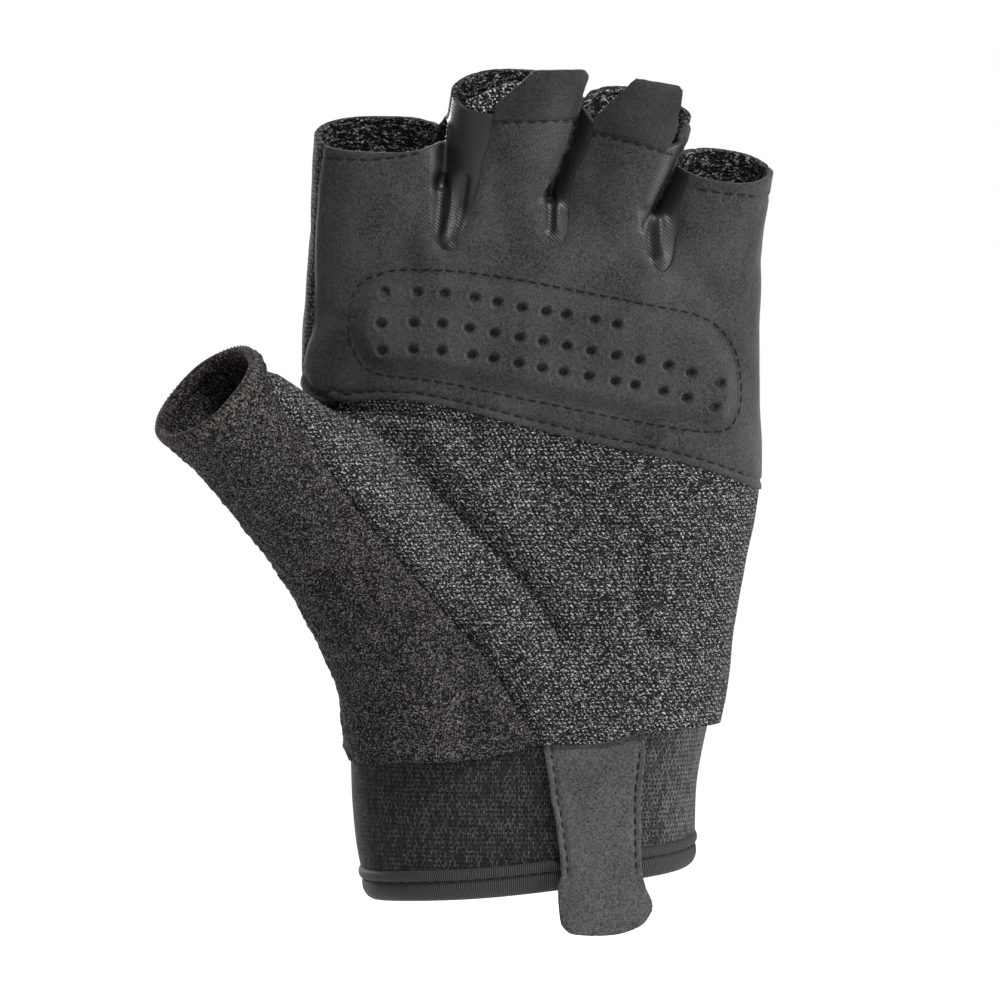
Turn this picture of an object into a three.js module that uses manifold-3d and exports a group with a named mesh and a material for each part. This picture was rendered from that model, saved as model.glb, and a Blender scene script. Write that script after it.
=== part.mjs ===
// Left-hand fingerless training glove, held open as if a hand filled it.
// Millimetres: +Z runs from the wrist to the fingertips, the palm faces -Y and the thumb is at -X.
// The origin is the centre of the wrist opening, where the hand goes in.

import * as THREE from "three";
import { mergeVertices } from "three/addons/utils/BufferGeometryUtils.js";
import Module from "manifold-3d";

const wasm = await Module();
wasm.setup();

// Driving sizes of the whole glove. The tables below hold their places as shares of these three.
const palmWidth = 86; // outside width across the knuckles
const gloveLength = 150; // wrist hem to the highest rim of the middle finger
const gloveDepth = 44; // palm to back at the heel of the hand

// Cloth: each panel reaches from its lift outside the glove's form to its wall inside it.
const seamGap = 0.3; // clear space between neighbouring panels
const suedeLift = 0.6;
const suedeWall = 1.0;
const knitLift = 0;
const knitWall = 1.6;
const terryLift = 0.4;
const terryWall = 1.6;
const meshLift = 0;
const meshWall = 1.4;
const stretchLift = -0.1;
const stretchWall = 1.3;
const liningWall = 0.9;
const tabThickness = 1.2;

// Wrist: cuff, binding and pull strap
const cuffWall = 1.6;
const bindingHeight = 5.9;
const bindingTop = 4.2; // upper edge of the binding above the hem line
const bindingRoll = 0.9; // how far the upper roll stands out from the cuff
const bindingWall = 2.6; // how far the binding reaches inside the cuff's outer face
const bindingLean = 6; // degrees that the hem rises towards the little finger
const strapThickness = 1.6;

// Grip pad and its dimples
const padThickness = 1.8;
const padSkirt = 0.6; // share of the pad's thickness at its border
const dimpleRadius = 1.15;
const dimpleDepth = 0.9;
const dimplePitch = 4.72;

// Thumb rim: an overlocked band round the thumb opening
const thumbRimHeight = 2.4;
const thumbRimLift = 0.8;

// Slots between the fingers
const slotHalfWidth = 0.55;
const slotTurn = -0.1; // sideways shift per length of depth, so that the fingers hide the gap
const slotFront = -0.36; // where the shift is nil, as a share of glove depth

// Mesh fineness
const bodySides = 38;
const fingerSides = 18;
const thumbSides = 21;
const cuffSides = 27;
const hollowShare = 0.72; // the hidden inside takes fewer sides
const openRun = 15; // how far the hollow runs past each opening
const far = 400; // past every edge of the glove

// Sections of each tube, from wrist to tip: centre (x, y, z) and half width and half depth as shares
// of palm width, glove depth and glove length, with the ring's lean to the side and nod to the palm
// in degrees, and how square it is (2 is an ellipse).
const bodySections = [
  { x: 0.0, y: 0.0, z: 0.115, halfWidth: 0.388, halfDepth: 0.495, lean: 1, nod: 0, square: 2.2 },
  { x: 0.009, y: -0.01, z: 0.222, halfWidth: 0.414, halfDepth: 0.5, lean: 0, nod: 0, square: 2.25 },
  { x: 0.012, y: -0.02, z: 0.313, halfWidth: 0.43, halfDepth: 0.475, lean: -1, nod: 0, square: 2.3 },
  { x: 0.013, y: -0.02, z: 0.407, halfWidth: 0.456, halfDepth: 0.44, lean: -3, nod: 0, square: 2.35 },
  { x: 0.012, y: -0.015, z: 0.5, halfWidth: 0.484, halfDepth: 0.405, lean: -4, nod: 0, square: 2.4 },
  { x: 0.0, y: -0.01, z: 0.593, halfWidth: 0.493, halfDepth: 0.375, lean: -5, nod: 1, square: 2.4 },
  { x: 0.002, y: -0.015, z: 0.68, halfWidth: 0.488, halfDepth: 0.352, lean: -6, nod: 3, square: 2.4 },
  { x: 0.009, y: -0.025, z: 0.74, halfWidth: 0.486, halfDepth: 0.325, lean: -7, nod: 5, square: 2.4 },
  { x: 0.012, y: -0.045, z: 0.793, halfWidth: 0.48, halfDepth: 0.28, lean: -7, nod: 7, square: 2.4 },
  { x: 0.005, y: -0.065, z: 0.84, halfWidth: 0.453, halfDepth: 0.2, lean: -7, nod: 8, square: 2.4 },
];
const indexSections = [
  { x: -0.32, y: -0.03, z: 0.7, halfWidth: 0.147, halfDepth: 0.27, lean: -2, nod: 4, square: 2.2 },
  { x: -0.325, y: -0.06, z: 0.813, halfWidth: 0.146, halfDepth: 0.25, lean: -1, nod: 9, square: 2.2 },
  { x: -0.32, y: -0.135, z: 0.914, halfWidth: 0.143, halfDepth: 0.23, lean: 0, nod: 18, square: 2.2 },
];
const middleSections = [
  { x: -0.083, y: -0.03, z: 0.707, halfWidth: 0.134, halfDepth: 0.27, lean: -4, nod: 4, square: 2.2 },
  { x: -0.065, y: -0.07, z: 0.84, halfWidth: 0.133, halfDepth: 0.255, lean: -6, nod: 11, square: 2.2 },
  { x: -0.027, y: -0.175, z: 0.964, halfWidth: 0.139, halfDepth: 0.235, lean: -2, nod: 25, square: 2.2 },
];
const ringSections = [
  { x: 0.138, y: -0.03, z: 0.68, halfWidth: 0.128, halfDepth: 0.265, lean: -8, nod: 4, square: 2.2 },
  { x: 0.168, y: -0.07, z: 0.813, halfWidth: 0.133, halfDepth: 0.25, lean: -12, nod: 12, square: 2.2 },
  { x: 0.237, y: -0.17, z: 0.937, halfWidth: 0.123, halfDepth: 0.23, lean: -15, nod: 27, square: 2.2 },
];
const littleSections = [
  { x: 0.372, y: -0.01, z: 0.667, halfWidth: 0.112, halfDepth: 0.245, lean: -10, nod: 3, square: 2.2 },
  { x: 0.368, y: -0.035, z: 0.78, halfWidth: 0.126, halfDepth: 0.23, lean: -9, nod: 9, square: 2.2 },
  { x: 0.416, y: -0.1, z: 0.875, halfWidth: 0.1, halfDepth: 0.205, lean: -8, nod: 18, square: 2.2 },
];
const thumbSections = [
  { x: -0.186, y: -0.115, z: 0.133, halfWidth: 0.203, halfDepth: 0.37, lean: 0, nod: 0, square: 2 },
  { x: -0.193, y: -0.135, z: 0.227, halfWidth: 0.209, halfDepth: 0.365, lean: 10, nod: 2, square: 2 },
  { x: -0.26, y: -0.18, z: 0.335, halfWidth: 0.209, halfDepth: 0.345, lean: 27, nod: 6, square: 2 },
  { x: -0.379, y: -0.26, z: 0.438, halfWidth: 0.192, halfDepth: 0.315, lean: 34, nod: 10, square: 2 },
  { x: -0.508, y: -0.375, z: 0.504, halfWidth: 0.156, halfDepth: 0.285, lean: 41, nod: 14, square: 2 },
  { x: -0.599, y: -0.465, z: 0.5505, halfWidth: 0.135, halfDepth: 0.268, lean: 42, nod: 18, square: 2 },
  { x: -0.697, y: -0.57, z: 0.601, halfWidth: 0.131, halfDepth: 0.256, lean: 42, nod: 22, square: 2 },
];
const cuffSections = [
  { x: 0.0, y: 0.0, z: 0.0, halfWidth: 0.358, halfDepth: 0.44, lean: bindingLean, nod: 4, square: 2.2 },
  { x: -0.01, y: 0.0, z: 0.06, halfWidth: 0.369, halfDepth: 0.45, lean: 4, nod: 2, square: 2.2 },
  { x: -0.01, y: 0.0, z: 0.12, halfWidth: 0.376, halfDepth: 0.465, lean: 2, nod: 0, square: 2.2 },
  { x: 0.0, y: 0.0, z: 0.19, halfWidth: 0.391, halfDepth: 0.485, lean: 1, nod: 0, square: 2.2 },
];

// Folds pressed into the palm side: a path of (x, z) shares, with width and depth as shares of glove depth.
const folds = [
  { name: "thumb crease", width: 0.082, depth: 0.043, path: [[-0.3, 0.52], [-0.1, 0.395], [0.087, 0.29]] },
  { name: "heel crease", width: 0.077, depth: 0.03, path: [[0.238, 0.419], [0.255, 0.3], [0.37, 0.265]] },
  { name: "hollow of the palm", width: 0.386, depth: 0.059, path: [[0.02, 0.47], [0.1, 0.38]] },
  { name: "ridge beside the crease", width: 0.082, depth: -0.02, path: [[-0.2, 0.4], [0, 0.29]] },
  { name: "index crease", width: 0.068, depth: 0.025, path: [[-0.47, 0.69], [-0.4, 0.735], [-0.27, 0.775]] },
  { name: "little finger crease", width: 0.068, depth: 0.018, path: [[0.33, 0.74], [0.47, 0.7]] },
];

// The strap clears the binding's upper roll, then follows the cuff up to the knit.
const strapSections = [
  { x: 0.0, y: 0.0, z: -0.07, halfWidth: 0.375, halfDepth: 0.468, lean: bindingLean, nod: 4, square: 2.2 },
  { x: 0.0, y: 0.0, z: 0.0, halfWidth: 0.375, halfDepth: 0.47, lean: bindingLean, nod: 4, square: 2.2 },
  { x: -0.003, y: 0.0, z: 0.03, halfWidth: 0.378, halfDepth: 0.476, lean: 4, nod: 3, square: 2.2 },
  { x: -0.006, y: 0.0, z: 0.07, halfWidth: 0.376, halfDepth: 0.473, lean: 3.5, nod: 2, square: 2.2 },
  { x: -0.008, y: 0.0, z: 0.12, halfWidth: 0.379, halfDepth: 0.482, lean: 2, nod: 0, square: 2.2 },
  { x: 0.0, y: 0.0, z: 0.2, halfWidth: 0.395, halfDepth: 0.5, lean: 1, nod: 0, square: 2.2 },
];
// Profile of the binding's two rolls. Outwards is a share of the roll, or of the wall where it is
// negative, and rise is a share of the binding's height.
const bindingProfile = [
  { out: -1.0, rise: 0.85 },
  { out: -1.0, rise: 0.15 },
  { out: -0.6, rise: 0.0 },
  { out: -0.15, rise: 0.02 },
  { out: 0.55, rise: 0.33 },
  { out: 0.5, rise: 0.52 },
  { out: 0.25, rise: 0.63 },
  { out: 0.85, rise: 0.7 },
  { out: 1.0, rise: 0.81 },
  { out: 0.85, rise: 0.93 },
  { out: 0.25, rise: 1.0 },
  { out: -0.9, rise: 1.0 },
];

// Lines of the pattern, seen from the palm side, as (x, z) shares.
const suedeEdge = [
  [-0.64, 0.8], [-0.54, 0.665], [-0.498, 0.612], [-0.451, 0.584], [-0.322, 0.59], [-0.193, 0.583],
  [0.012, 0.554], [0.152, 0.535], [0.287, 0.518], [0.399, 0.499], [0.492, 0.476], [0.55, 0.459],
];
const terrySeam = [
  [-0.57, 1.0], [-0.57, 0.75], [-0.565, 0.665], [-0.55, 0.612], [-0.515, 0.575], [-0.468, 0.546],
  [-0.442, 0.518], [-0.358, 0.446], [-0.231, 0.36], [-0.102, 0.275], [-0.012, 0.195], [0.018, 0.165],
  [0.03, 0.1],
];
const terryBackSeam = [
  [-0.506, 1.0], [-0.506, 0.7], [-0.5, 0.607], [-0.455, 0.555], [-0.408, 0.469], [-0.386, 0.395], [-0.382, 0.296],
  [-0.382, 0.1],
];
const bodyHem = [
  [-1.2, 0.13], [-0.451, 0.139], [-0.274, 0.143], [-0.143, 0.146], [-0.033, 0.158], [0.025, 0.165],
  [0.154, 0.168], [0.229, 0.178], [0.384, 0.184], [0.9, 0.2],
];
const forks = {
  index_middle: [
    [-0.224, 1.1], [-0.215, 0.9], [-0.217, 0.803], [-0.205, 0.784], [-0.182, 0.772], [-0.158, 0.779],
    [-0.119, 0.831], [-0.098, 0.881], [-0.072, 0.95], [-0.06, 1.1],
  ],
  middle_ring: [
    [0.145, 1.1], [0.117, 0.967], [0.059, 0.872], [0.027, 0.842], [0.018, 0.822], [0.038, 0.789],
    [0.066, 0.779], [0.08, 0.79], [0.094, 0.855], [0.139, 0.924], [0.155, 1.1],
  ],
  ring_little: [
    [0.355, 1.1], [0.319, 0.94], [0.294, 0.898], [0.24, 0.841], [0.229, 0.808], [0.245, 0.77],
    [0.27, 0.75], [0.292, 0.746], [0.312, 0.765], [0.324, 0.824], [0.356, 0.9], [0.385, 1.1],
  ],
};
const slots = [
  { x: -0.18, z: 0.85, topX: -0.172, topZ: 0.917 },
  { x: 0.052, z: 0.842, topX: 0.117, topZ: 0.953 },
  { x: 0.26, z: 0.806, topX: 0.338, topZ: 0.898 },
];
const padOutline = [
  [-0.386, 0.688], [-0.373, 0.728], [-0.33, 0.747], [-0.246, 0.754], [-0.128, 0.751], [0.046, 0.735],
  [0.238, 0.713], [0.367, 0.696], [0.431, 0.664], [0.451, 0.617], [0.444, 0.574], [0.397, 0.554],
  [0.238, 0.567], [0.023, 0.592], [-0.193, 0.617], [-0.332, 0.628], [-0.378, 0.657],
];
const tabOutlines = {
  middle: [
    [-0.1, 0.918], [-0.078, 0.949], [0.012, 0.994], [0.115, 0.994], [0.124, 0.987], [0.109, 0.964],
    [0.118, 0.948], [0.12, 0.916],
  ],
  ring: [
    [0.105, 0.904], [0.135, 0.932], [0.225, 0.983], [0.319, 0.973], [0.328, 0.966], [0.315, 0.937],
    [0.322, 0.917], [0.305, 0.875],
  ],
};
const liningOutlines = {
  middle: [[-0.15, 0.9], [-0.154, 0.955], [-0.038, 0.977], [0.066, 0.97], [0.087, 0.9]],
  ring: [[0.128, 0.88], [0.132, 0.943], [0.175, 0.957], [0.275, 0.945], [0.289, 0.87]],
};
const strapOutline = [
  [0.042, 0.175], [0.046, 0.111], [0.057, 0.074], [0.07, 0.011], [0.063, -0.012], [0.067, -0.048],
  [0.075, -0.06], [0.1, -0.068], [0.182, -0.069], [0.235, -0.06], [0.256, -0.048], [0.264, -0.032],
  [0.242, 0.004], [0.238, 0.09], [0.236, 0.175],
];
// Rows of dimples follow a line that falls towards the little finger.
const dimpleLine = [
  [-0.312, 0.687], [-0.186, 0.687], [-0.021, 0.671], [0.132, 0.655], [0.295, 0.635], [0.401, 0.613],
];
const dimpleRows = [
  { count: 10, rise: 0.0375, shift: 0.004 },
  { count: 14, rise: 0, shift: 0 },
  { count: 14, rise: -0.032, shift: 0 },
];
// Where the palm side ends and the back begins, as (y, z) shares, and how that turns across the hand.
const sideLine = [
  [0.03, -0.3], [0.03, 0.6], [0.0, 0.75], [-0.08, 0.85], [-0.25, 0.98], [-0.4, 1.15],
];
const sideTurn = 0.06;

// A closed triangle mesh becomes a solid once its shared points are merged.
function solidOf(geometry) {
  const bare = geometry.clone();
  for (const name of Object.keys(bare.attributes)) {
    if (name !== "position") bare.deleteAttribute(name);
  }
  const merged = mergeVertices(bare, 1e-4);
  return new wasm.Manifold(
    new wasm.Mesh({
      numProp: 3,
      vertProperties: merged.attributes.position.array,
      triVerts: new Uint32Array(merged.index.array),
    }),
  );
}

function unite(solids) {
  return solids.reduce((sum, solid) => sum.add(solid));
}

// The piece that is left when a cutter has also clipped off slivers elsewhere.
function largest(solid) {
  return solid.decompose().reduce((best, one) => (one.volume() > best.volume() ? one : best));
}

function meshOf(name, solid, material) {
  const made = solid.getMesh();
  const geometry = new THREE.BufferGeometry();
  const positions = new THREE.BufferAttribute(new Float32Array(made.vertProperties), made.numProp);
  geometry.setAttribute("position", positions);
  geometry.setIndex(new THREE.BufferAttribute(new Uint32Array(made.triVerts), 1));
  geometry.computeVertexNormals();
  const mesh = new THREE.Mesh(geometry, material);
  mesh.name = name;
  return mesh;
}

// A value on the smooth curve through b and c, between their neighbours a and d.
function between(a, b, c, d, t) {
  const line = (c - a) * t;
  const bend = (2 * a - 5 * b + 4 * c - d) * t * t;
  const turn = (3 * b - a - 3 * c + d) * t * t * t;
  return b + (line + bend + turn) / 2;
}

// Adds rows between those of a table, each column on its own smooth curve.
function smoothRows(rows, steps) {
  const made = [];
  for (let i = 0; i < rows.length - 1; i++) {
    const b = rows[i];
    const c = rows[i + 1];
    for (let s = 0; s < steps; s++) {
      const row = {};
      for (const key of Object.keys(b)) {
        const a = i > 0 ? rows[i - 1][key] : 2 * b[key] - c[key];
        const d = i + 2 < rows.length ? rows[i + 2][key] : 2 * c[key] - b[key];
        row[key] = between(a, b[key], c[key], d, s / steps);
      }
      made.push(row);
    }
  }
  made.push({ ...rows[rows.length - 1] });
  return made;
}

// Distance from (x, z) to a path of points.
function distanceTo(path, x, z) {
  let nearest = Infinity;
  for (let i = 0; i + 1 < path.length; i++) {
    const [ax, az] = path[i];
    const [bx, bz] = path[i + 1];
    const along = (x - ax) * (bx - ax) + (z - az) * (bz - az);
    const share = THREE.MathUtils.clamp(along / ((bx - ax) ** 2 + (bz - az) ** 2), 0, 1);
    nearest = Math.min(nearest, Math.hypot(x - ax - share * (bx - ax), z - az - share * (bz - az)));
  }
  return nearest;
}

const placedFolds = folds.map(({ width, depth, path }) => ({
  width: width * gloveDepth,
  depth: depth * gloveDepth,
  path: place(path),
}));

// How far the folds press the palm side in at (x, z).
function foldDepth(x, z) {
  return placedFolds.reduce(
    (sum, fold) => sum + fold.depth * Math.exp(-((distanceTo(fold.path, x, z) / fold.width) ** 2)),
    0,
  );
}

// The directions of a section's ring: across, from palm to back, and along the tube.
function ringAxes(row) {
  const lean = THREE.MathUtils.degToRad(row.lean);
  const nod = THREE.MathUtils.degToRad(row.nod);
  const across = new THREE.Vector3(Math.cos(lean), 0, Math.sin(lean));
  const up = new THREE.Vector3(-Math.sin(lean), 0, Math.cos(lean));
  const back = new THREE.Vector3(0, Math.cos(nod), 0).addScaledVector(up, Math.sin(nod));
  const along = new THREE.Vector3().crossVectors(across, back);
  return { across, back, along };
}

function ringCentre(row) {
  return new THREE.Vector3(row.x * palmWidth, row.y * gloveDepth, row.z * gloveLength);
}

// One ring of points, grown by the offset, with the folds pressed into its palm side.
function ringOf(row, sides, offset, folded) {
  const { across, back } = ringAxes(row);
  const centre = ringCentre(row);
  const power = 2 / row.square;
  const points = [];
  for (let i = 0; i < sides; i++) {
    const angle = (2 * Math.PI * i) / sides;
    const c = Math.cos(angle);
    const s = Math.sin(angle);
    const wide = Math.sign(c) * Math.abs(c) ** power * (row.halfWidth * palmWidth + offset);
    const deep = Math.sign(s) * Math.abs(s) ** power * (row.halfDepth * gloveDepth + offset);
    const point = centre.clone().addScaledVector(across, wide).addScaledVector(back, deep);
    if (folded && s < 0) point.y += foldDepth(point.x, point.z) * -s;
    points.push(point);
  }
  return points;
}

// A closed tube through rings of equal count, capped at both ends.
function skin(rings) {
  const sides = rings[0].length;
  const middle = (ring) =>
    ring.reduce((sum, p) => sum.add(p), new THREE.Vector3()).divideScalar(sides);
  const points = [...rings.flat(), middle(rings[0]), middle(rings[rings.length - 1])];
  const faces = [];
  const base = points.length - 2;
  const last = (rings.length - 1) * sides;
  for (let i = 0; i < sides; i++) {
    const next = (i + 1) % sides;
    faces.push(base, next, i, base + 1, last + i, last + next);
    for (let r = 0; r + 1 < rings.length; r++) {
      const low = r * sides;
      const high = low + sides;
      faces.push(low + i, low + next, high + next, low + i, high + next, high + i);
    }
  }
  const geometry = new THREE.BufferGeometry().setFromPoints(points);
  geometry.setIndex(faces);
  return solidOf(geometry);
}

// A tube through a table of sections. startRun and endRun lengthen it along its first and last ring.
function loft(rows, { sides, steps = 2, offset = 0, startRun = 0, endRun = 0, folded = false }) {
  const smooth = smoothRows(rows, steps);
  const rings = smooth.map((row) => ringOf(row, sides, offset, folded));
  const moved = (ring, row, run) =>
    ring.map((p) => p.clone().addScaledVector(ringAxes(row).along, run));
  const first = smooth[0];
  const last = smooth[smooth.length - 1];
  if (startRun) rings.unshift(moved(rings[0], first, -startRun));
  if (endRun > 0) rings.push(moved(rings[rings.length - 1], last, endRun));
  if (endRun < 0) rings.push(moved(rings.pop(), last, endRun));
  return skin(rings);
}

function place(shares) {
  return shares.map(([x, z]) => [x * palmWidth, z * gloveLength]);
}

// More points on a smooth line through the given ones.
function smoothLine(points, steps, closed = false) {
  const knots = points.map(([x, z]) => new THREE.Vector3(x, z, 0));
  const curve = new THREE.CatmullRomCurve3(knots, closed, "centripetal");
  const count = steps * (points.length - (closed ? 0 : 1));
  const made = curve.getPoints(count).map((p) => [p.x, p.y]);
  if (closed) made.pop();
  return made;
}

// Moves a line sideways: to its left as it runs, or to its right where the distance is negative.
function shiftLine(points, distance, closed = false) {
  const count = points.length;
  return points.map(([x, z], i) => {
    const before = points[closed ? (i + count - 1) % count : Math.max(i - 1, 0)];
    const after = points[closed ? (i + 1) % count : Math.min(i + 1, count - 1)];
    const dx = after[0] - before[0];
    const dz = after[1] - before[1];
    const length = Math.hypot(dx, dz);
    return [x - (dz / length) * distance, z + (dx / length) * distance];
  });
}

// Grows a closed outline by a distance, whichever way round it runs.
function growOutline(points, distance) {
  const area = THREE.ShapeUtils.area(points.map(([x, z]) => new THREE.Vector2(x, z)));
  return shiftLine(points, area > 0 ? -distance : distance, true);
}

// A closed outline seen from the palm side, cut through the glove. The turn shifts it sideways as
// it runs towards the back.
function prism(outline, turn = 0) {
  const shape = new THREE.Shape(outline.map(([x, z]) => new THREE.Vector2(x, z)));
  const geometry = new THREE.ExtrudeGeometry(shape, { depth: 2 * far, bevelEnabled: false });
  geometry.rotateX(Math.PI / 2).translate(0, far, 0);
  geometry.applyMatrix4(new THREE.Matrix4().makeShear(0, 0, turn, 0, 0, 0));
  return solidOf(geometry);
}

// All that lies to the left of a line as it runs, set back from it by the margin. The way is the
// direction in which the space is closed far off.
function leftOf(line, way, margin) {
  const edge = shiftLine(line, margin);
  const [firstX, firstZ] = edge[0];
  const [lastX, lastZ] = edge[edge.length - 1];
  return prism([
    ...edge,
    [lastX + way[0] * far, lastZ + way[1] * far],
    [firstX + way[0] * far, firstZ + way[1] * far],
  ]);
}

// The space on the palm side of the side line, moved towards the back by the shift.
function palmSide(shift) {
  const line = sideLine.map(([y, z]) => new THREE.Vector2(y * gloveDepth + shift, z * gloveLength));
  const [low] = line;
  const high = line[line.length - 1];
  const shape = new THREE.Shape([
    ...line,
    new THREE.Vector2(-far, high.y),
    new THREE.Vector2(-far, low.y),
  ]);
  const geometry = new THREE.ExtrudeGeometry(shape, { depth: 2 * far, bevelEnabled: false });
  const x = new THREE.Vector3(1, 0, 0);
  const y = new THREE.Vector3(0, 1, 0);
  const z = new THREE.Vector3(0, 0, 1);
  geometry.translate(0, 0, -far).applyMatrix4(new THREE.Matrix4().makeBasis(y, z, x));
  geometry.applyMatrix4(new THREE.Matrix4().makeShear(sideTurn, 0, 0, 0, 0, 0));
  return solidOf(geometry);
}

// A slot between two fingers, round at its foot and open above.
function slotSolid({ x, z, topX, topZ }, grow) {
  const foot = new THREE.Vector2(x * palmWidth, z * gloveLength);
  const top = new THREE.Vector2(topX * palmWidth, topZ * gloveLength);
  const rise = top.clone().sub(foot).normalize();
  const side = new THREE.Vector2(rise.y, -rise.x);
  const reach = slotHalfWidth + grow;
  const corner = (turn, lift) =>
    foot
      .clone()
      .addScaledVector(side, reach * Math.cos(turn))
      .addScaledVector(rise, reach * Math.sin(turn) + lift)
      .toArray();
  const roundSteps = 4;
  const points = [corner(0, gloveLength)];
  for (let i = 0; i <= roundSteps; i++) points.push(corner((-Math.PI * i) / roundSteps, 0));
  points.push(corner(-Math.PI, gloveLength));
  const shift = slotTurn * slotFront * gloveDepth;
  return prism(
    points.map(([px, pz]) => [px - shift, pz]),
    slotTurn,
  );
}

// The whole glove's form, hand and fingers in one, grown by the offset. A hollow form is coarser
// and runs on past the finger, thumb and wrist openings, so that it cuts them through.
const forms = new Map();
function form(offset, hollow = false) {
  const key = `${offset} ${hollow}`;
  if (!forms.has(key)) {
    const run = hollow ? openRun : 0;
    const fine = (sides) => (hollow ? Math.round(sides * hollowShare) : sides);
    const shrink = Math.min(offset, 0);
    const hand = { offset, steps: 1, startRun: run, folded: true };
    const fingers = [indexSections, middleSections, ringSections, littleSections];
    const tubes = [
      loft(bodySections, { ...hand, sides: fine(bodySides), endRun: shrink }),
      loft(thumbSections, { ...hand, sides: fine(thumbSides), endRun: run }),
      ...fingers.map((rows) => loft(rows, { sides: fine(fingerSides), offset, endRun: run })),
    ];
    const cuts = slots.map((slot) => slotSolid(slot, -shrink));
    forms.set(key, cuts.reduce((solid, cut) => solid.subtract(cut), unite(tubes)));
  }
  return forms.get(key);
}

function shell(lift, wall) {
  return form(lift).subtract(form(-wall, true));
}

// A closed band swept round a section's ring. Its profile is a list of points outwards and upwards,
// in millimetres from that ring.
function band(row, sides, profile) {
  const { along } = ringAxes(row);
  const rings = profile.map(([out, rise]) =>
    ringOf(row, sides, out, false).map((p) => p.addScaledVector(along, rise)),
  );
  const faces = [];
  for (let r = 0; r < rings.length; r++) {
    const low = r * sides;
    const high = ((r + 1) % rings.length) * sides;
    for (let i = 0; i < sides; i++) {
      const next = (i + 1) % sides;
      faces.push(low + i, low + next, high + next, low + i, high + next, high + i);
    }
  }
  const geometry = new THREE.BufferGeometry().setFromPoints(rings.flat());
  geometry.setIndex(faces);
  return solidOf(geometry);
}

const lines = {
  suede: place(suedeEdge),
  seam: place(terrySeam),
  backSeam: place(terryBackSeam),
  hem: place(bodyHem),
};
const half = seamGap / 2;
const up = [0, 1];
const down = [0, -1];
const left = [-1, 0];
const right = [1, 0];
const reversed = (line) => [...line].reverse();
const aboveHem = leftOf(lines.hem, up, half);
const belowHem = leftOf(reversed(lines.hem), down, half);
const forkPrism = (name, grow) => prism(growOutline(place(forks[name]), grow));
const forkHoles = unite(Object.keys(forks).map((name) => forkPrism(name, half)));
const tabPrism = (name, grow) => prism(growOutline(place(tabOutlines[name]), grow));
const all = prism([[-far, -far], [far, -far], [far, far], [-far, far]]);
const palm = palmSide(-half);
const back = all.subtract(palmSide(half));
const overSuede = leftOf(lines.suede, up, half);
const underSuede = leftOf(reversed(lines.suede), down, half);
const besideSeam = leftOf(lines.seam, right, half);
const thumbFront = leftOf(reversed(lines.seam), left, half);
const thumbBack = leftOf(reversed(lines.backSeam), left, half);

// Panels of the hand
function suedePanel() {
  const tabs = unite(Object.keys(tabOutlines).map((name) => tabPrism(name, seamGap)));
  return largest(
    shell(suedeLift, suedeWall)
      .intersect(overSuede)
      .intersect(besideSeam)
      .intersect(palm)
      .subtract(forkHoles)
      .subtract(tabs),
  );
}

function knitPanel() {
  return largest(
    shell(knitLift, knitWall)
      .intersect(underSuede)
      .intersect(besideSeam)
      .intersect(aboveHem)
      .intersect(palm),
  );
}

// The thumb's terry keeps to its seam on the palm side and to another one on the back.
function thumbRegion() {
  const onPalm = thumbFront.intersect(palm);
  const onBack = thumbBack.intersect(back);
  return unite([onPalm, onBack, thumbFront.intersect(thumbBack)]).intersect(aboveHem);
}

function terryPanel() {
  const tip = thumbSections[thumbSections.length - 1];
  const rim = band(tip, thumbSides, [
    [thumbRimLift + seamGap * 4, -thumbRimHeight - seamGap],
    [thumbRimLift + seamGap * 4, thumbRimHeight],
    [-terryWall - seamGap * 4, thumbRimHeight],
    [-terryWall - seamGap * 4, -thumbRimHeight - seamGap],
  ]);
  return largest(shell(terryLift, terryWall).intersect(thumbRegion()).subtract(rim));
}

function backPanel() {
  const thumb = thumbBack.intersect(aboveHem);
  return largest(
    shell(meshLift, meshWall)
      .intersect(back)
      .intersect(aboveHem)
      .intersect(leftOf(lines.backSeam, right, half))
      .subtract(thumb)
      .subtract(forkHoles),
  );
}

function fourchette(name) {
  return largest(shell(stretchLift, stretchWall).intersect(forkPrism(name, -half)));
}

// A thin layer that follows one finger past its rim on the palm side.
function fingerLayer(rows, lift, thickness) {
  const run = openRun;
  const outer = loft(rows, { sides: fingerSides, offset: lift, endRun: run });
  const inner = loft(rows, {
    sides: fingerSides,
    offset: lift - thickness,
    startRun: run,
    endRun: 2 * run,
  });
  return outer.subtract(inner).intersect(palm);
}

function pullTab(name, rows) {
  const layer = fingerLayer(rows, suedeLift, tabThickness);
  return largest(layer.intersect(tabPrism(name, 0)).subtract(forkHoles));
}

function tabLining(name, rows) {
  const lift = -stretchWall - 2 * seamGap;
  const layer = fingerLayer(rows, lift, liningWall).intersect(form(lift, true));
  return largest(layer.intersect(prism(place(liningOutlines[name]))));
}

// The rim of the thumb opening: a rounded band whose profile is given as shares of its lift, its
// wall and its height.
function thumbRim() {
  const tip = thumbSections[thumbSections.length - 1];
  const outer = thumbRimLift;
  const inner = -terryWall - thumbRimLift / 2;
  const foot = -thumbRimHeight;
  return band(tip, thumbSides, [
    [terryLift, foot],
    [outer, foot * 0.75],
    [outer, foot * 0.15],
    [0, thumbRimLift * 0.3],
    [-terryWall * 0.6, thumbRimLift * 0.3],
    [inner, foot * 0.2],
    [inner, foot * 0.8],
    [-terryWall, foot],
  ]);
}

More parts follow.
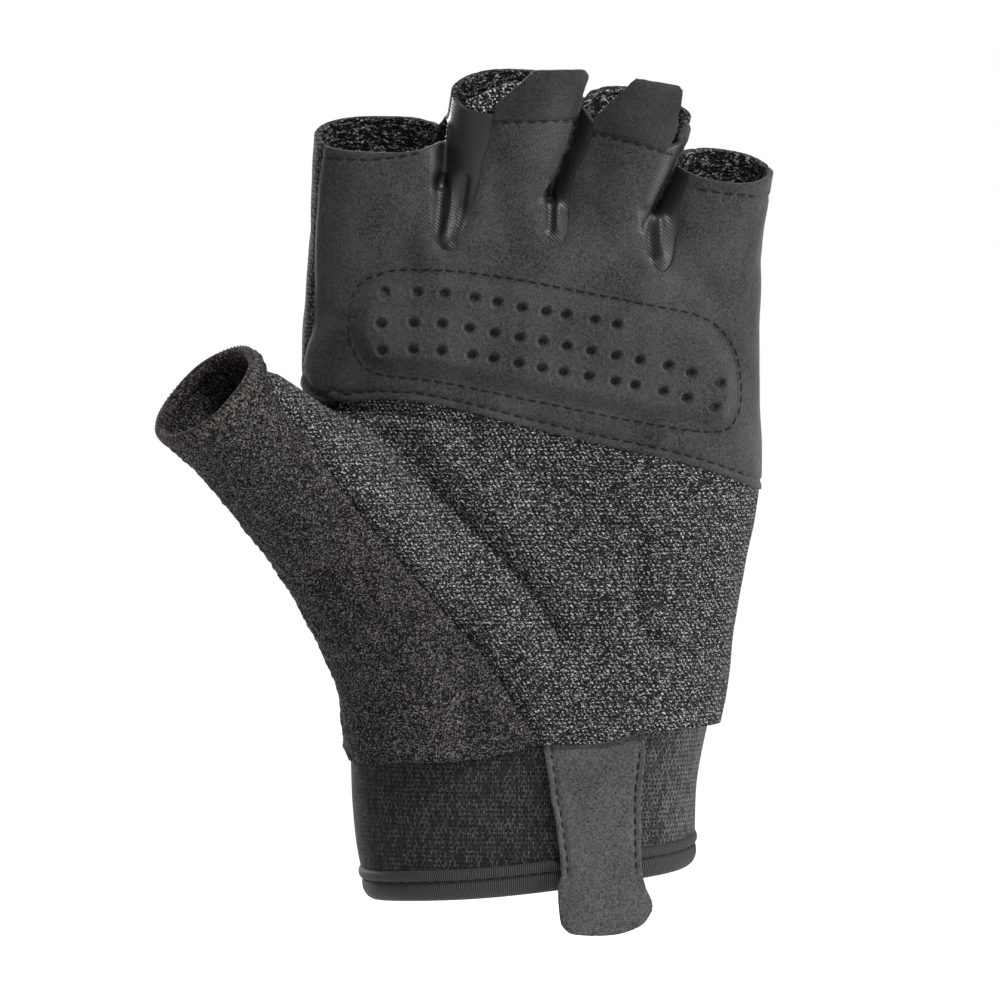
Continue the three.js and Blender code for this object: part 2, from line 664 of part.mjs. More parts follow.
// Wrist
function cuff() {
  const hem = cuffSections[0];
  const sides = cuffSides;
  const outer = loft(cuffSections, { sides, steps: 1 });
  const inner = loft(cuffSections, {
    sides,
    steps: 1,
    offset: -cuffWall,
    startRun: openRun,
    endRun: openRun,
  });
  const belt = band(hem, sides, [
    [bindingRoll * 2, -openRun],
    [bindingRoll * 2, bindingTop + seamGap],
    [-bindingWall * 2, bindingTop + seamGap],
    [-bindingWall * 2, -openRun],
  ]);
  return outer.subtract(inner).intersect(belowHem).subtract(belt);
}

function hemBinding() {
  const bottom = bindingTop - bindingHeight;
  return band(
    cuffSections[0],
    cuffSides,
    bindingProfile.map(({ out, rise }) => [
      out > 0 ? out * bindingRoll : out * bindingWall,
      bottom + rise * bindingHeight,
    ]),
  );
}

function pullStrap() {
  const layer = (offset) => ({ sides: cuffSides, steps: 1, offset, startRun: openRun });
  const outer = loft(strapSections, { ...layer(strapThickness) });
  const inner = loft(strapSections, { ...layer(0), startRun: 2 * openRun, endRun: openRun });
  const outline = prism(place(strapOutline));
  return largest(outer.subtract(inner).intersect(outline).intersect(belowHem).intersect(palm));
}

// Grip pad: a base layer, a smaller crown on it, and blind dimples in rows.
function pointOnPad(surface, x, z) {
  const ray = new THREE.Raycaster(new THREE.Vector3(x, -far, z), new THREE.Vector3(0, 1, 0));
  const [hit] = ray.intersectObject(surface);
  return { point: hit.point, normal: hit.face.normal };
}

function gripPad() {
  const floor = suedeLift + seamGap;
  const line = place(padOutline);
  const layer = (thickness, grow) =>
    form(floor + thickness).intersect(prism(growOutline(line, grow)));
  const skirt = layer(padThickness * padSkirt, 0);
  const crown = layer(padThickness, -padThickness * 0.6);
  const pad = skirt.add(crown).subtract(form(floor)).intersect(palm);
  const surface = meshOf("pad surface", form(floor + padThickness), new THREE.MeshBasicMaterial());
  const rows = smoothLine(place(dimpleLine), 8);
  const cuts = [];
  for (const { count, rise, shift } of dimpleRows) {
    for (let i = 0; i < count; i++) {
      const x = rows[0][0] + shift * palmWidth + i * dimplePitch;
      const z = heightOn(rows, x) + rise * gloveLength;
      const { point, normal } = pointOnPad(surface, x, z);
      const pit = new THREE.CylinderGeometry(dimpleRadius, dimpleRadius * 0.75, 2 * dimpleDepth, 6);
      const turn = new THREE.Quaternion().setFromUnitVectors(new THREE.Vector3(0, 1, 0), normal);
      pit.applyQuaternion(turn).translate(point.x, point.y, point.z);
      cuts.push(solidOf(pit));
    }
  }
  return largest(pad.subtract(unite(cuts)));
}

// Height of a line that runs from left to right, at x.
function heightOn(line, x) {
  const i = Math.max(line.findIndex((point) => point[0] > x), 1);
  const [ax, az] = line[i - 1];
  const [bx, bz] = line[i];
  return az + ((bz - az) * (x - ax)) / (bx - ax);
}

function cloth(colour, roughness) {
  return new THREE.MeshStandardMaterial({ color: colour, roughness, metalness: 0 });
}

const glove = new THREE.Group();
glove.name = "training_glove";
const pieces = [
  ["back_panel", backPanel(), cloth(0x242322, 0.95)],
  ["palm_suede_panel", suedePanel(), cloth(0x464443, 0.95)],
  ["grip_pad", gripPad(), cloth(0x4a4846, 0.9)],
  ["palm_knit_panel", knitPanel(), cloth(0x3f3e3e, 0.95)],
  ["thumb_terry_panel", terryPanel(), cloth(0x444241, 1)],
  ["thumb_opening_hem", thumbRim(), cloth(0x3a3938, 1)],
  ["fourchette_index_middle", fourchette("index_middle"), cloth(0x2d2d30, 0.6)],
  ["fourchette_middle_ring", fourchette("middle_ring"), cloth(0x2d2d30, 0.6)],
  ["fourchette_ring_little", fourchette("ring_little"), cloth(0x2d2d30, 0.6)],
  ["middle_pull_tab", pullTab("middle", middleSections), cloth(0x464443, 0.95)],
  ["ring_pull_tab", pullTab("ring", ringSections), cloth(0x464443, 0.95)],
  ["middle_tab_lining", tabLining("middle", middleSections), cloth(0x2b2a2a, 0.95)],
  ["ring_tab_lining", tabLining("ring", ringSections), cloth(0x2b2a2a, 0.95)],
  ["wrist_cuff", cuff(), cloth(0x373738, 0.9)],
  ["hem_binding", hemBinding(), cloth(0x3c3c3d, 0.85)],
  ["wrist_pull_strap", pullStrap(), cloth(0x4b4a49, 0.95)],
];
for (const [name, solid, material] of pieces) glove.add(meshOf(name, solid, material));

export default glove;
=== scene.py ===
import math

import bmesh
import bpy
import numpy as np
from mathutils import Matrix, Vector
from mathutils.bvhtree import BVHTree


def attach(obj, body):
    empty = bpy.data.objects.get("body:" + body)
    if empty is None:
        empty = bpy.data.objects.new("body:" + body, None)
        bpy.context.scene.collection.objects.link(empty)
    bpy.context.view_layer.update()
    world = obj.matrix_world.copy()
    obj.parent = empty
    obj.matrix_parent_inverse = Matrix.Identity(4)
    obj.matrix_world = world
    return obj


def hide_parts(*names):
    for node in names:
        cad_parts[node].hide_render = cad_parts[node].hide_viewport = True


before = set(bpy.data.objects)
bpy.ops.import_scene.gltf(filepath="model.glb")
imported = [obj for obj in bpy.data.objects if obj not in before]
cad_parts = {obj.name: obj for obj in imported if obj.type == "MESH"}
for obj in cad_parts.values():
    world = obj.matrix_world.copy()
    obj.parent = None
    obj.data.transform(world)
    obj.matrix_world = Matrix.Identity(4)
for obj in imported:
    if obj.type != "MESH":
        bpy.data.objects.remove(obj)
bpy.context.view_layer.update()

MM = 0.001
WIDTH, LENGTH, DEPTH = 86.0, 150.0, 44.0  # the CAD's driving sizes
VOXEL = 0.6

# Sections of each tube as shares of width, depth and length:
# x, y, z, half width, half depth, lean, nod, squareness
BODY = [
    (0.0, 0.0, 0.1, 0.386, 0.49, 1, 0, 2.2),
    (0.009, -0.01, 0.222, 0.414, 0.5, 0, 0, 2.25),
    (0.012, -0.02, 0.313, 0.43, 0.475, -1, 0, 2.3),
    (0.013, -0.02, 0.407, 0.456, 0.44, -3, 0, 2.35),
    (0.012, -0.015, 0.5, 0.484, 0.405, -4, 0, 2.4),
    (0.0, -0.01, 0.593, 0.493, 0.375, -5, 1, 2.4),
    (0.002, -0.015, 0.68, 0.488, 0.352, -6, 3, 2.4),
    (0.009, -0.025, 0.74, 0.486, 0.325, -7, 5, 2.4),
    (0.012, -0.045, 0.793, 0.48, 0.28, -7, 7, 2.4),
    (0.005, -0.065, 0.84, 0.453, 0.2, -7, 8, 2.4),
]
FINGERS = {
    "index": [
        (-0.32, -0.03, 0.7, 0.147, 0.27, -2, 4, 2.2),
        (-0.325, -0.06, 0.813, 0.146, 0.25, -1, 9, 2.2),
        (-0.32, -0.135, 0.914, 0.143, 0.23, 0, 18, 2.2),
    ],
    "middle": [
        (-0.083, -0.03, 0.707, 0.134, 0.27, -4, 4, 2.2),
        (-0.065, -0.07, 0.84, 0.133, 0.255, -6, 11, 2.2),
        (-0.027, -0.175, 0.964, 0.139, 0.235, -2, 25, 2.2),
    ],
    "ring": [
        (0.138, -0.03, 0.68, 0.128, 0.265, -8, 4, 2.2),
        (0.168, -0.07, 0.813, 0.133, 0.25, -12, 12, 2.2),
        (0.237, -0.17, 0.937, 0.123, 0.23, -15, 27, 2.2),
    ],
    "little": [
        (0.372, -0.01, 0.667, 0.112, 0.245, -10, 3, 2.2),
        (0.368, -0.035, 0.78, 0.126, 0.23, -9, 9, 2.2),
        (0.416, -0.1, 0.875, 0.1, 0.205, -8, 18, 2.2),
    ],
}
THUMB = [
    (-0.186, -0.115, 0.1, 0.203, 0.37, 0, 0, 2),
    (-0.193, -0.135, 0.227, 0.209, 0.365, 10, 2, 2),
    (-0.26, -0.18, 0.335, 0.209, 0.345, 27, 6, 2),
    (-0.379, -0.26, 0.438, 0.192, 0.315, 34, 10, 2),
    (-0.508, -0.375, 0.504, 0.156, 0.285, 41, 14, 2),
    (-0.599, -0.465, 0.5505, 0.135, 0.268, 42, 18, 2),
    (-0.697, -0.57, 0.601, 0.131, 0.256, 42, 22, 2),
]
CUFF = [
    (0.0, 0.0, 0.0, 0.358, 0.44, 6, 4, 2.2),
    (-0.01, 0.0, 0.06, 0.369, 0.45, 4, 2, 2.2),
    (-0.01, 0.0, 0.12, 0.376, 0.465, 2, 0, 2.2),
    (0.0, 0.0, 0.19, 0.391, 0.485, 1, 0, 2.2),
]
STRAP = [
    (0.0, 0.0, -0.08, 0.375, 0.466, 6, 4, 2.2),
    (0.0, 0.0, 0.0, 0.375, 0.47, 6, 4, 2.2),
    (-0.003, 0.0, 0.03, 0.378, 0.476, 4, 3, 2.2),
    (-0.006, 0.0, 0.07, 0.376, 0.473, 3.5, 2, 2.2),
    (-0.008, 0.0, 0.12, 0.379, 0.482, 2, 0, 2.2),
    (0.0, 0.0, 0.2, 0.395, 0.5, 1, 0, 2.2),
]
SLOT_HALF, SLOT_TURN, SLOT_FRONT = 0.5, -0.1, -0.36
SLOTS = [
    (-0.18, 0.85, -0.172, 0.917),
    (0.052, 0.842, 0.117, 0.953),
    (0.26, 0.806, 0.338, 0.898),
]
# Where the fingers, their fourchettes and the open slots start, and where the thumb ends, in millimetres
FINGERS_FROM, FORKS_FROM, SLOTS_FROM = 95, 105, 120
THUMB_RIGHT, THUMB_TOP = -46, 105
THUMB_HEM = 1.6  # the terry stops this far below the rim
NOT_NEAR, OUTLINE_REACH = 5.0, 4.0  # distances that stand for far off
PALM_SIDE = -80  # the y where rays towards the palm start

# Lines of the pattern, seen from the palm side, as (x, z) shares.
SUEDE_EDGE = [
    (-0.64, 0.8), (-0.54, 0.665), (-0.498, 0.612), (-0.451, 0.584), (-0.322, 0.59), (-0.193, 0.583),
    (0.012, 0.554), (0.152, 0.535), (0.287, 0.518), (0.399, 0.499), (0.492, 0.476), (0.55, 0.459),
]
SEAM = [
    (-0.57, 1.0), (-0.57, 0.75), (-0.565, 0.665), (-0.55, 0.612), (-0.515, 0.575), (-0.468, 0.546),
    (-0.442, 0.518), (-0.358, 0.446), (-0.231, 0.36), (-0.102, 0.275), (-0.012, 0.195), (0.018, 0.165), (0.03, 0.1),
]
BACK_SEAM = [
    (-0.506, 1.0), (-0.506, 0.7), (-0.5, 0.607), (-0.455, 0.555), (-0.408, 0.469), (-0.386, 0.395),
    (-0.382, 0.296), (-0.382, 0.1),
]
HEM = [
    (-1.2, 0.13), (-0.451, 0.139), (-0.274, 0.143), (-0.143, 0.146), (-0.033, 0.158), (0.025, 0.165),
    (0.154, 0.168), (0.229, 0.178), (0.384, 0.184), (0.9, 0.2),
]
FORKS = {
    "index_middle": [
        (-0.224, 1.1), (-0.215, 0.9), (-0.217, 0.803), (-0.205, 0.784), (-0.182, 0.772), (-0.158, 0.779),
        (-0.119, 0.831), (-0.098, 0.881), (-0.072, 0.95), (-0.06, 1.1),
    ],
    "middle_ring": [
        (0.145, 1.1), (0.117, 0.967), (0.059, 0.872), (0.027, 0.842), (0.018, 0.822), (0.038, 0.789),
        (0.066, 0.779), (0.08, 0.79), (0.094, 0.855), (0.139, 0.924), (0.155, 1.1),
    ],
    "ring_little": [
        (0.355, 1.1), (0.319, 0.94), (0.294, 0.898), (0.24, 0.841), (0.229, 0.808), (0.245, 0.77),
        (0.27, 0.75), (0.292, 0.746), (0.312, 0.765), (0.324, 0.824), (0.356, 0.9), (0.385, 1.1),
    ],
}
PAD = [
    (-0.386, 0.682), (-0.373, 0.722), (-0.33, 0.741), (-0.246, 0.748), (-0.128, 0.745), (0.046, 0.729),
    (0.238, 0.707), (0.367, 0.69), (0.431, 0.658), (0.451, 0.611), (0.444, 0.568), (0.397, 0.548),
    (0.238, 0.561), (0.023, 0.586), (-0.193, 0.611), (-0.332, 0.622), (-0.378, 0.651),
]
TABS = {
    "middle": [
        (-0.1, 0.918), (-0.078, 0.949), (0.012, 0.994), (0.115, 0.994), (0.124, 0.987), (0.109, 0.964),
        (0.118, 0.948), (0.12, 0.916),
    ],
    "ring": [
        (0.105, 0.904), (0.135, 0.932), (0.225, 0.983), (0.319, 0.973), (0.328, 0.966), (0.315, 0.937),
        (0.322, 0.917), (0.305, 0.875),
    ],
}
# Stitches under each finger's rim. Those of the middle and ring finger hold the tabs.
HEM_STITCHES = {
    "index": [(-0.44, 0.886), (-0.33, 0.885), (-0.235, 0.893)],
    "middle": [(-0.09, 0.931), (0.02, 0.932), (0.11, 0.934)],
    "ring": [(0.13, 0.919), (0.22, 0.906), (0.31, 0.89)],
    "little": [(0.36, 0.848), (0.42, 0.843), (0.485, 0.839)],
}
LININGS = {
    "middle": [(-0.15, 0.9), (-0.154, 0.955), (-0.038, 0.977), (0.066, 0.97), (0.087, 0.9)],
    "ring": [(0.128, 0.88), (0.132, 0.943), (0.175, 0.957), (0.275, 0.945), (0.289, 0.87)],
}
STRAP_OUTLINE = [
    (0.042, 0.215), (0.046, 0.111), (0.057, 0.074), (0.07, 0.011), (0.063, -0.012), (0.067, -0.048),
    (0.075, -0.06), (0.1, -0.068), (0.182, -0.069), (0.235, -0.06), (0.256, -0.048), (0.264, -0.032),
    (0.242, 0.004), (0.238, 0.09), (0.236, 0.215),
]
SIDE_LINE = [(0.03, -0.3), (0.03, 0.6), (0.0, 0.75), (-0.08, 0.85), (-0.25, 0.98), (-0.4, 1.15)]
SIDE_TURN = 0.06
# Centre line of the dimples' middle row as (x, z) shares, and each row's rise and dimples, whose
# places along x in millimetres are as uneven as the press left them.
DIMPLE_LINE = [
    (-0.312, 0.681), (-0.186, 0.681), (-0.021, 0.665), (0.132, 0.649), (0.295, 0.629), (0.401, 0.607),
]
DIMPLE_ROWS = [
    (0.0375, [-26.5, -20.5, -15.7, -10.2, -6.1, -1.6, 2.8, 6.5, 11.7, 15.7]),
    (0.0, [-27.1, -21.1, -16.2, -11.2, -6.6, -2.0, 2.2, 6.7, 11.1, 15.6, 19.9, 24.9, 29.2, 34.2]),
    (-0.032, [-26.9, -21.3, -16.3, -10.7, -6.8, -2.2, 2.0, 6.1, 10.6, 15.5, 19.1, 24.1, 28.4, 33.2]),
]
DIMPLE_RADIUS, DIMPLE_DEPTH = 1.15, 1.15
# Folds in the palm side: width and depth in millimetres and a path of (x, z) shares.
FOLDS = [
    (1.0, 1.3, [(-0.309, 0.534), (-0.175, 0.458), (-0.02, 0.369), (0.063, 0.303)]),
    (4.0, 1.0, [(-0.3, 0.53), (-0.15, 0.445), (-0.01, 0.36), (0.07, 0.29)]),
    (4.0, -1.1, [(-0.37, 0.5), (-0.25, 0.42), (-0.08, 0.32), (0.03, 0.25)]),
    (3.0, -0.6, [(-0.2, 0.53), (-0.05, 0.44), (0.06, 0.37)]),
    (1.3, 1.2, [(-0.43, 0.578), (-0.3, 0.573), (-0.2, 0.563), (-0.12, 0.553)]),
    (1.2, -0.5, [(-0.4, 0.565), (-0.28, 0.556), (-0.17, 0.547)]),
    (1.1, 0.6, [(-0.02, 0.5), (0.03, 0.485), (0.1, 0.47)]),
    (1.6, 1.2, [(0.245, 0.42), (0.235, 0.34), (0.25, 0.305), (0.3, 0.28), (0.39, 0.263)]),
    (2.6, -1.1, [(0.25, 0.44), (0.32, 0.455), (0.4, 0.48)]),
    (2.6, -0.5, [(0.2, 0.34), (0.2, 0.28), (0.27, 0.25)]),
    (17.0, 2.2, [(0.02, 0.47), (0.1, 0.38)]),
    (3.0, 1.4, [(-0.47, 0.68), (-0.4, 0.725), (-0.27, 0.765)]),
    (4.0, -0.6, [(-0.4, 0.8), (-0.3, 0.84), (-0.25, 0.88)]),
    (2.6, 0.9, [(0.33, 0.735), (0.47, 0.695)]),
    (3.5, 0.6, [(-0.09, 0.93), (-0.07, 0.83), (-0.03, 0.78)]),
    (3.5, 0.6, [(0.13, 0.9), (0.14, 0.82), (0.19, 0.76)]),
    (1.1, 1.0, [(-0.19, 0.86), (-0.197, 0.8), (-0.19, 0.78)]),
    (0.9, -0.9, [(-0.165, 0.86), (-0.168, 0.82), (-0.183, 0.79)]),
    (0.8, 0.8, [(-0.14, 0.86), (-0.15, 0.82), (-0.17, 0.785)]),
    (0.9, 0.9, [(0.045, 0.86), (0.045, 0.8)]),
    (0.7, -0.7, [(0.06, 0.84), (0.058, 0.8)]),
    (0.9, 0.9, [(0.25, 0.82), (0.262, 0.765)]),
    (0.7, -0.7, [(0.28, 0.81), (0.285, 0.768)]),
]


# Shapes in numbers
def with_ends(knots):
    """The knots with one more past each end, straight on."""
    return np.vstack([2 * knots[0] - knots[1], knots, 2 * knots[-1] - knots[-2]])


def curve_through(knots, steps):
    """A smooth curve from the second knot to the last but one, in runs of that many points."""
    u = np.arange(steps)[:, None] / steps
    return [
        b + (c - a) * u / 2 + (2 * a - 5 * b + 4 * c - d) * u**2 / 2 + (3 * b - a - 3 * c + d) * u**3 / 2
        for a, b, c, d in zip(knots, knots[1:], knots[2:], knots[3:])
    ]


def smooth_rows(table, steps):
    """Rows between those of a table, each column on its own smooth curve."""
    rows = np.array(table, float)
    return np.vstack(curve_through(with_ends(rows), steps) + [rows[-1:]])


def ring_axes(rows):
    lean, nod = np.radians(rows[:, 5]), np.radians(rows[:, 6])
    zero = np.zeros(len(rows))
    across = np.stack([np.cos(lean), zero, np.sin(lean)], 1)
    up = np.stack([-np.sin(lean), zero, np.cos(lean)], 1)
    back = np.stack([zero, np.cos(nod), zero], 1) + up * np.sin(nod)[:, None]
    return rows[:, :3] * (WIDTH, DEPTH, LENGTH), across, back, np.cross(across, back)


def rings(rows, angles, offset=0.0):
    """One ring of points for each row, grown by the offset."""
    centre, across, back, _ = ring_axes(rows)
    power = (2 / rows[:, 7])[:, None]
    c, s = np.cos(angles)[None], np.sin(angles)[None]
    wide = np.sign(c) * np.abs(c) ** power * (rows[:, 3] * WIDTH + offset)[:, None]
    deep = np.sign(s) * np.abs(s) ** power * (rows[:, 4] * DEPTH + offset)[:, None]
    return centre[:, None] + across[:, None] * wide[..., None] + back[:, None] * deep[..., None]


def turn(sides):
    return np.arange(sides) * 2 * math.pi / sides


def grid_faces(rows, sides, closed=True):
    around = sides if closed else sides - 1
    return [
        (r * sides + i, r * sides + (i + 1) % sides, (r + 1) * sides + (i + 1) % sides, (r + 1) * sides + i)
        for r in range(rows - 1)
        for i in range(around)
    ]


def tube(table, sides, steps, offset, start_run, end_run):
    """Points and faces of a capped tube that runs on past both ends."""
    rows = smooth_rows(table, steps)
    points = rings(rows, turn(sides), offset)
    centre, _, _, along = ring_axes(rows)
    first = points[:1] - along[0] * start_run
    onward = (centre[-1] - centre[-4]) / np.linalg.norm(centre[-1] - centre[-4])
    last = points[-1:] + onward * np.linspace(end_run / 6, end_run, 6)[:, None, None] if end_run else points[:0]
    points = np.concatenate([first, points, last])
    faces = grid_faces(len(points), sides)
    count = len(points) * sides
    faces.append(tuple(range(sides))[::-1])
    faces.append(tuple(range(count - sides, count)))
    return points.reshape(-1, 3), faces


def slot_distance(points, slot):
    """Signed distance to the right of the slot between two fingers."""
    x, z, top_x, top_z = np.array(slot) * (WIDTH, LENGTH, WIDTH, LENGTH)
    length = math.hypot(top_x - x, top_z - z)
    ux, uz = (top_x - x) / length, (top_z - z) / length
    level = points[:, 0] - SLOT_TURN * (points[:, 1] - SLOT_FRONT * DEPTH)
    return (level - x) * uz - (points[:, 2] - z) * ux, np.array((uz, 0.0, -ux))


def keep_apart(points, left, right):
    """Flattens a finger where it meets its neighbours."""
    for slot, side in ((left, 1), (right, -1)):
        if slot:
            distance, normal = slot_distance(points, slot)
            push = np.clip(SLOT_HALF - side * distance, 0, None) * side
            points = points + push[:, None] * normal
    return points


def line_points(shares, steps=6, closed=False):
    """A smooth line in millimetres through (x, z) shares."""
    knots = np.array(shares) * (WIDTH, LENGTH)
    if closed:
        return np.vstack(curve_through(np.vstack([knots[-1], knots, knots[0], knots[1]]), steps))
    return np.vstack(curve_through(with_ends(knots), steps) + [knots[-1:]])


def nearest(points, line):
    """Distance to a line in the XZ plane and the side of its nearest piece, left positive."""
    px, pz = points[:, 0], points[:, 2]
    best = np.full(len(points), 1e9)
    side = np.ones(len(points))
    for (ax, az), (bx, bz) in zip(line, line[1:]):
        dx, dz = bx - ax, bz - az
        span = dx * dx + dz * dz
        if span < 1e-12:
            continue
        t = np.clip(((px - ax) * dx + (pz - az) * dz) / span, 0, 1)
        d = (px - ax - t * dx) ** 2 + (pz - az - t * dz) ** 2
        closer = d < best
        best = np.where(closer, d, best)
        side = np.where(closer, np.sign(dx * (pz - az) - dz * (px - ax)), side)
    return np.sqrt(best), side


def open_line(shares, steps=6):
    """Signed distance to a line across the glove, positive to its left."""
    line = line_points(shares, steps)
    line = np.vstack([line[0] + (line[0] - line[1]) * 400, line, line[-1] + (line[-1] - line[-2]) * 400])

    def signed(points):
        distance, side = nearest(points, line)
        return distance * side

    return signed


def inside_of(shares, steps=6, smooth=True):
    """Signed distance to a closed outline, negative inside and never over its reach outside."""
    line = line_points(shares, steps, True) if smooth else np.array(shares) * (WIDTH, LENGTH)
    low, high = line.min(0) - OUTLINE_REACH, line.max(0) + OUTLINE_REACH
    ring = np.vstack([line, line[:1]])

    def signed(points):
        made = np.full(len(points), OUTLINE_REACH)
        near = np.flatnonzero(
            (points[:, 0] > low[0]) & (points[:, 0] < high[0]) & (points[:, 2] > low[1]) & (points[:, 2] < high[1])
        )
        part = points[near]
        distance = nearest(part, ring)[0]
        inside = np.zeros(len(part), bool)
        for (ax, az), (bx, bz) in zip(ring, ring[1:]):
            if az != bz:
                crosses = (az > part[:, 2]) != (bz > part[:, 2])
                inside ^= crosses & (part[:, 0] < (bx - ax) * (part[:, 2] - az) / (bz - az) + ax)
        made[near] = np.where(inside, -distance, np.minimum(distance, OUTLINE_REACH))
        return made

    return signed


def ease_in(value):
    value = np.clip(value, 0, 1)
    return value * value * (3 - 2 * value)


def side_distance(points):
    """Distance behind the line where the palm side meets the back."""
    y, z = np.array(SIDE_LINE).T
    line = np.interp(points[:, 2] / LENGTH, z, y) * DEPTH + SIDE_TURN * points[:, 0]
    line -= 0.26 * np.clip(-25 - points[:, 0], 0, 18) * ease_in((points[:, 2] - 88) / 12)
    return points[:, 1] - line


def ripple(points, length, seed):
    """Smooth unevenness from -1 to 1 with about that wavelength."""
    total = 0
    for i in range(4):
        a = seed * 1.7 + i * 2.4
        k = np.array((math.cos(a) * math.cos(i), math.sin(a), math.cos(a) * math.sin(i))) * 2 * math.pi / length
        total = total + np.sin(points @ (k * (1 + 0.23 * i)) + a * 3)
    return total / 4


# The glove's smooth form
def joined_form():
    parts = [tube(BODY, 150, 6, 0.25, 4, 0), tube(THUMB, 110, 8, 0.25, 3, 8)]
    limits = [None, *SLOTS, None]
    for rows, left, right in zip(FINGERS.values(), limits, limits[1:]):
        points, faces = tube(rows, 80, 10, 0.25, 0, 11 if left and right else 3)
        parts.append((keep_apart(points, left, right), faces))
    verts, faces = [], []
    for points, own in parts:
        base = len(verts)
        verts += points.tolist()
        faces += [tuple(base + i for i in face) for face in own]
    mesh = bpy.data.meshes.new("form")
    mesh.from_pydata(verts, [], faces)
    obj = bpy.data.objects.new("form", mesh)
    bpy.context.scene.collection.objects.link(obj)
    remesh = obj.modifiers.new("even", "REMESH")
    remesh.mode, remesh.voxel_size, remesh.adaptivity = "VOXEL", VOXEL, 0
    ease = obj.modifiers.new("ease", "SMOOTH")
    ease.factor, ease.iterations = 0.5, 16
    made = bpy.data.meshes.new_from_object(obj.evaluated_get(bpy.context.evaluated_depsgraph_get()))
    bpy.data.objects.remove(obj)
    return made


def coordinates(mesh):
    values = np.empty(len(mesh.vertices) * 3)
    mesh.vertices.foreach_get("co", values)
    return values.reshape(-1, 3)


def normals_of(mesh):
    values = np.empty(len(mesh.vertices) * 3)
    mesh.vertex_normals.foreach_get("vector", values)
    return values.reshape(-1, 3)


def press_folds(mesh):
    """Folds and gentle unevenness of cloth, along the form's own normals."""
    points, normals = coordinates(mesh), normals_of(mesh)
    facing = np.clip(-normals[:, 1], 0, 1)
    push = 0.22 * ripple(points, 19, 1) + 0.1 * ripple(points, 8, 2)
    for width, depth, path in FOLDS:
        distance = nearest(points, line_points(path))[0]
        push = push - depth * facing * np.exp(-((distance / width) ** 2))
    points = points + normals * push[:, None]
    mesh.vertices.foreach_set("co", points.ravel())
    mesh.update()


def cut(bm, signed):
    """Adds edges where a signed distance is nil."""
    bm.verts.index_update()
    verts = list(bm.verts)
    values = signed(np.array([v.co for v in verts]))
    values[np.abs(values) < 0.06] = 0
    values = values.tolist()
    ends = []
    for edge in list(bm.edges):
        a, b = edge.verts
        va, vb = values[a.index], values[b.index]
        if va * vb < 0:
            ends.append((edge, a, va / (va - vb)))
    made = [bmesh.utils.edge_split(edge, a, share)[1] for edge, a, share in ends]
    made += [v for v, value in zip(verts, values) if value == 0]
    bmesh.ops.connect_verts(bm, verts=made)


def arrays(bm):
    bm.normal_update()
    bm.verts.index_update()
    points = np.array([v.co for v in bm.verts])
    normals = np.array([v.normal for v in bm.verts])
    return points, normals, [tuple(v.index for v in face.verts) for face in bm.faces]


def part_of(points, normals, faces, keep):
    """The chosen faces with only their own points."""
    chosen = [face for face, kept in zip(faces, keep) if kept]
    used = sorted({i for face in chosen for i in face})
    index = {old: new for new, old in enumerate(used)}
    return points[used], normals[used], [tuple(index[i] for i in face) for face in chosen]


def centres(points, faces):
    return np.array([points[list(face)].mean(0) for face in faces])


def surface(points, faces):
    """A bmesh of those points and faces."""
    bm = bmesh.new()
    verts = [bm.verts.new(p) for p in points]
    for face in faces:
        bm.faces.new([verts[i] for i in face])
    return bm


def cut_out(points, faces, outlines, lines=()):
    """What lies within all the outlines, cut along them and the lines."""
    bm = surface(points, faces)
    for signed in (*outlines, *lines):
        cut(bm, signed)
    points, normals, faces = arrays(bm)
    bm.free()
    at = centres(points, faces)
    return part_of(points, normals, faces, np.all([signed(at) < 0 for signed in outlines], axis=0))


def thicken(points, normals, faces, wall, bulge=0.0, rounds=3):
    """Gives a surface its wall, with a rounded rim that stands out by the bulge."""
    count = len(points)
    once = {}
    for face in faces:
        for a, b in zip(face, face[1:] + face[:1]):
            if (b, a) in once:
                del once[(b, a)]
            else:
                once[(a, b)] = True
    rim = sorted({i for edge in once for i in edge})
    slot_of = {v: k for k, v in enumerate(rim)}
    outward = np.zeros((len(rim), 3))
    for a, b in once:
        direction = np.cross(points[b] - points[a], (normals[a] + normals[b]) / 2)
        direction /= np.linalg.norm(direction) + 1e-9
        outward[slot_of[a]] += direction
        outward[slot_of[b]] += direction
    outward /= np.linalg.norm(outward, axis=1)[:, None] + 1e-9
    verts = [points, points - normals * wall]
    for k in range(1, rounds + 1):
        angle = math.pi * k / (rounds + 1)
        down = wall * (1 - math.cos(angle)) / 2
        verts.append(points[rim] - normals[rim] * down + outward * bulge * math.sin(angle))
    made = list(faces) + [tuple(i + count for i in reversed(face)) for face in faces]

    def level(v, k):
        if k == 0:
            return v
        return v + count if k > rounds else 2 * count + (k - 1) * len(rim) + slot_of[v]

    for a, b in once:
        for k in range(rounds + 1):
            made.append((level(b, k), level(a, k), level(a, k + 1), level(b, k + 1)))
    return np.vstack(verts), made


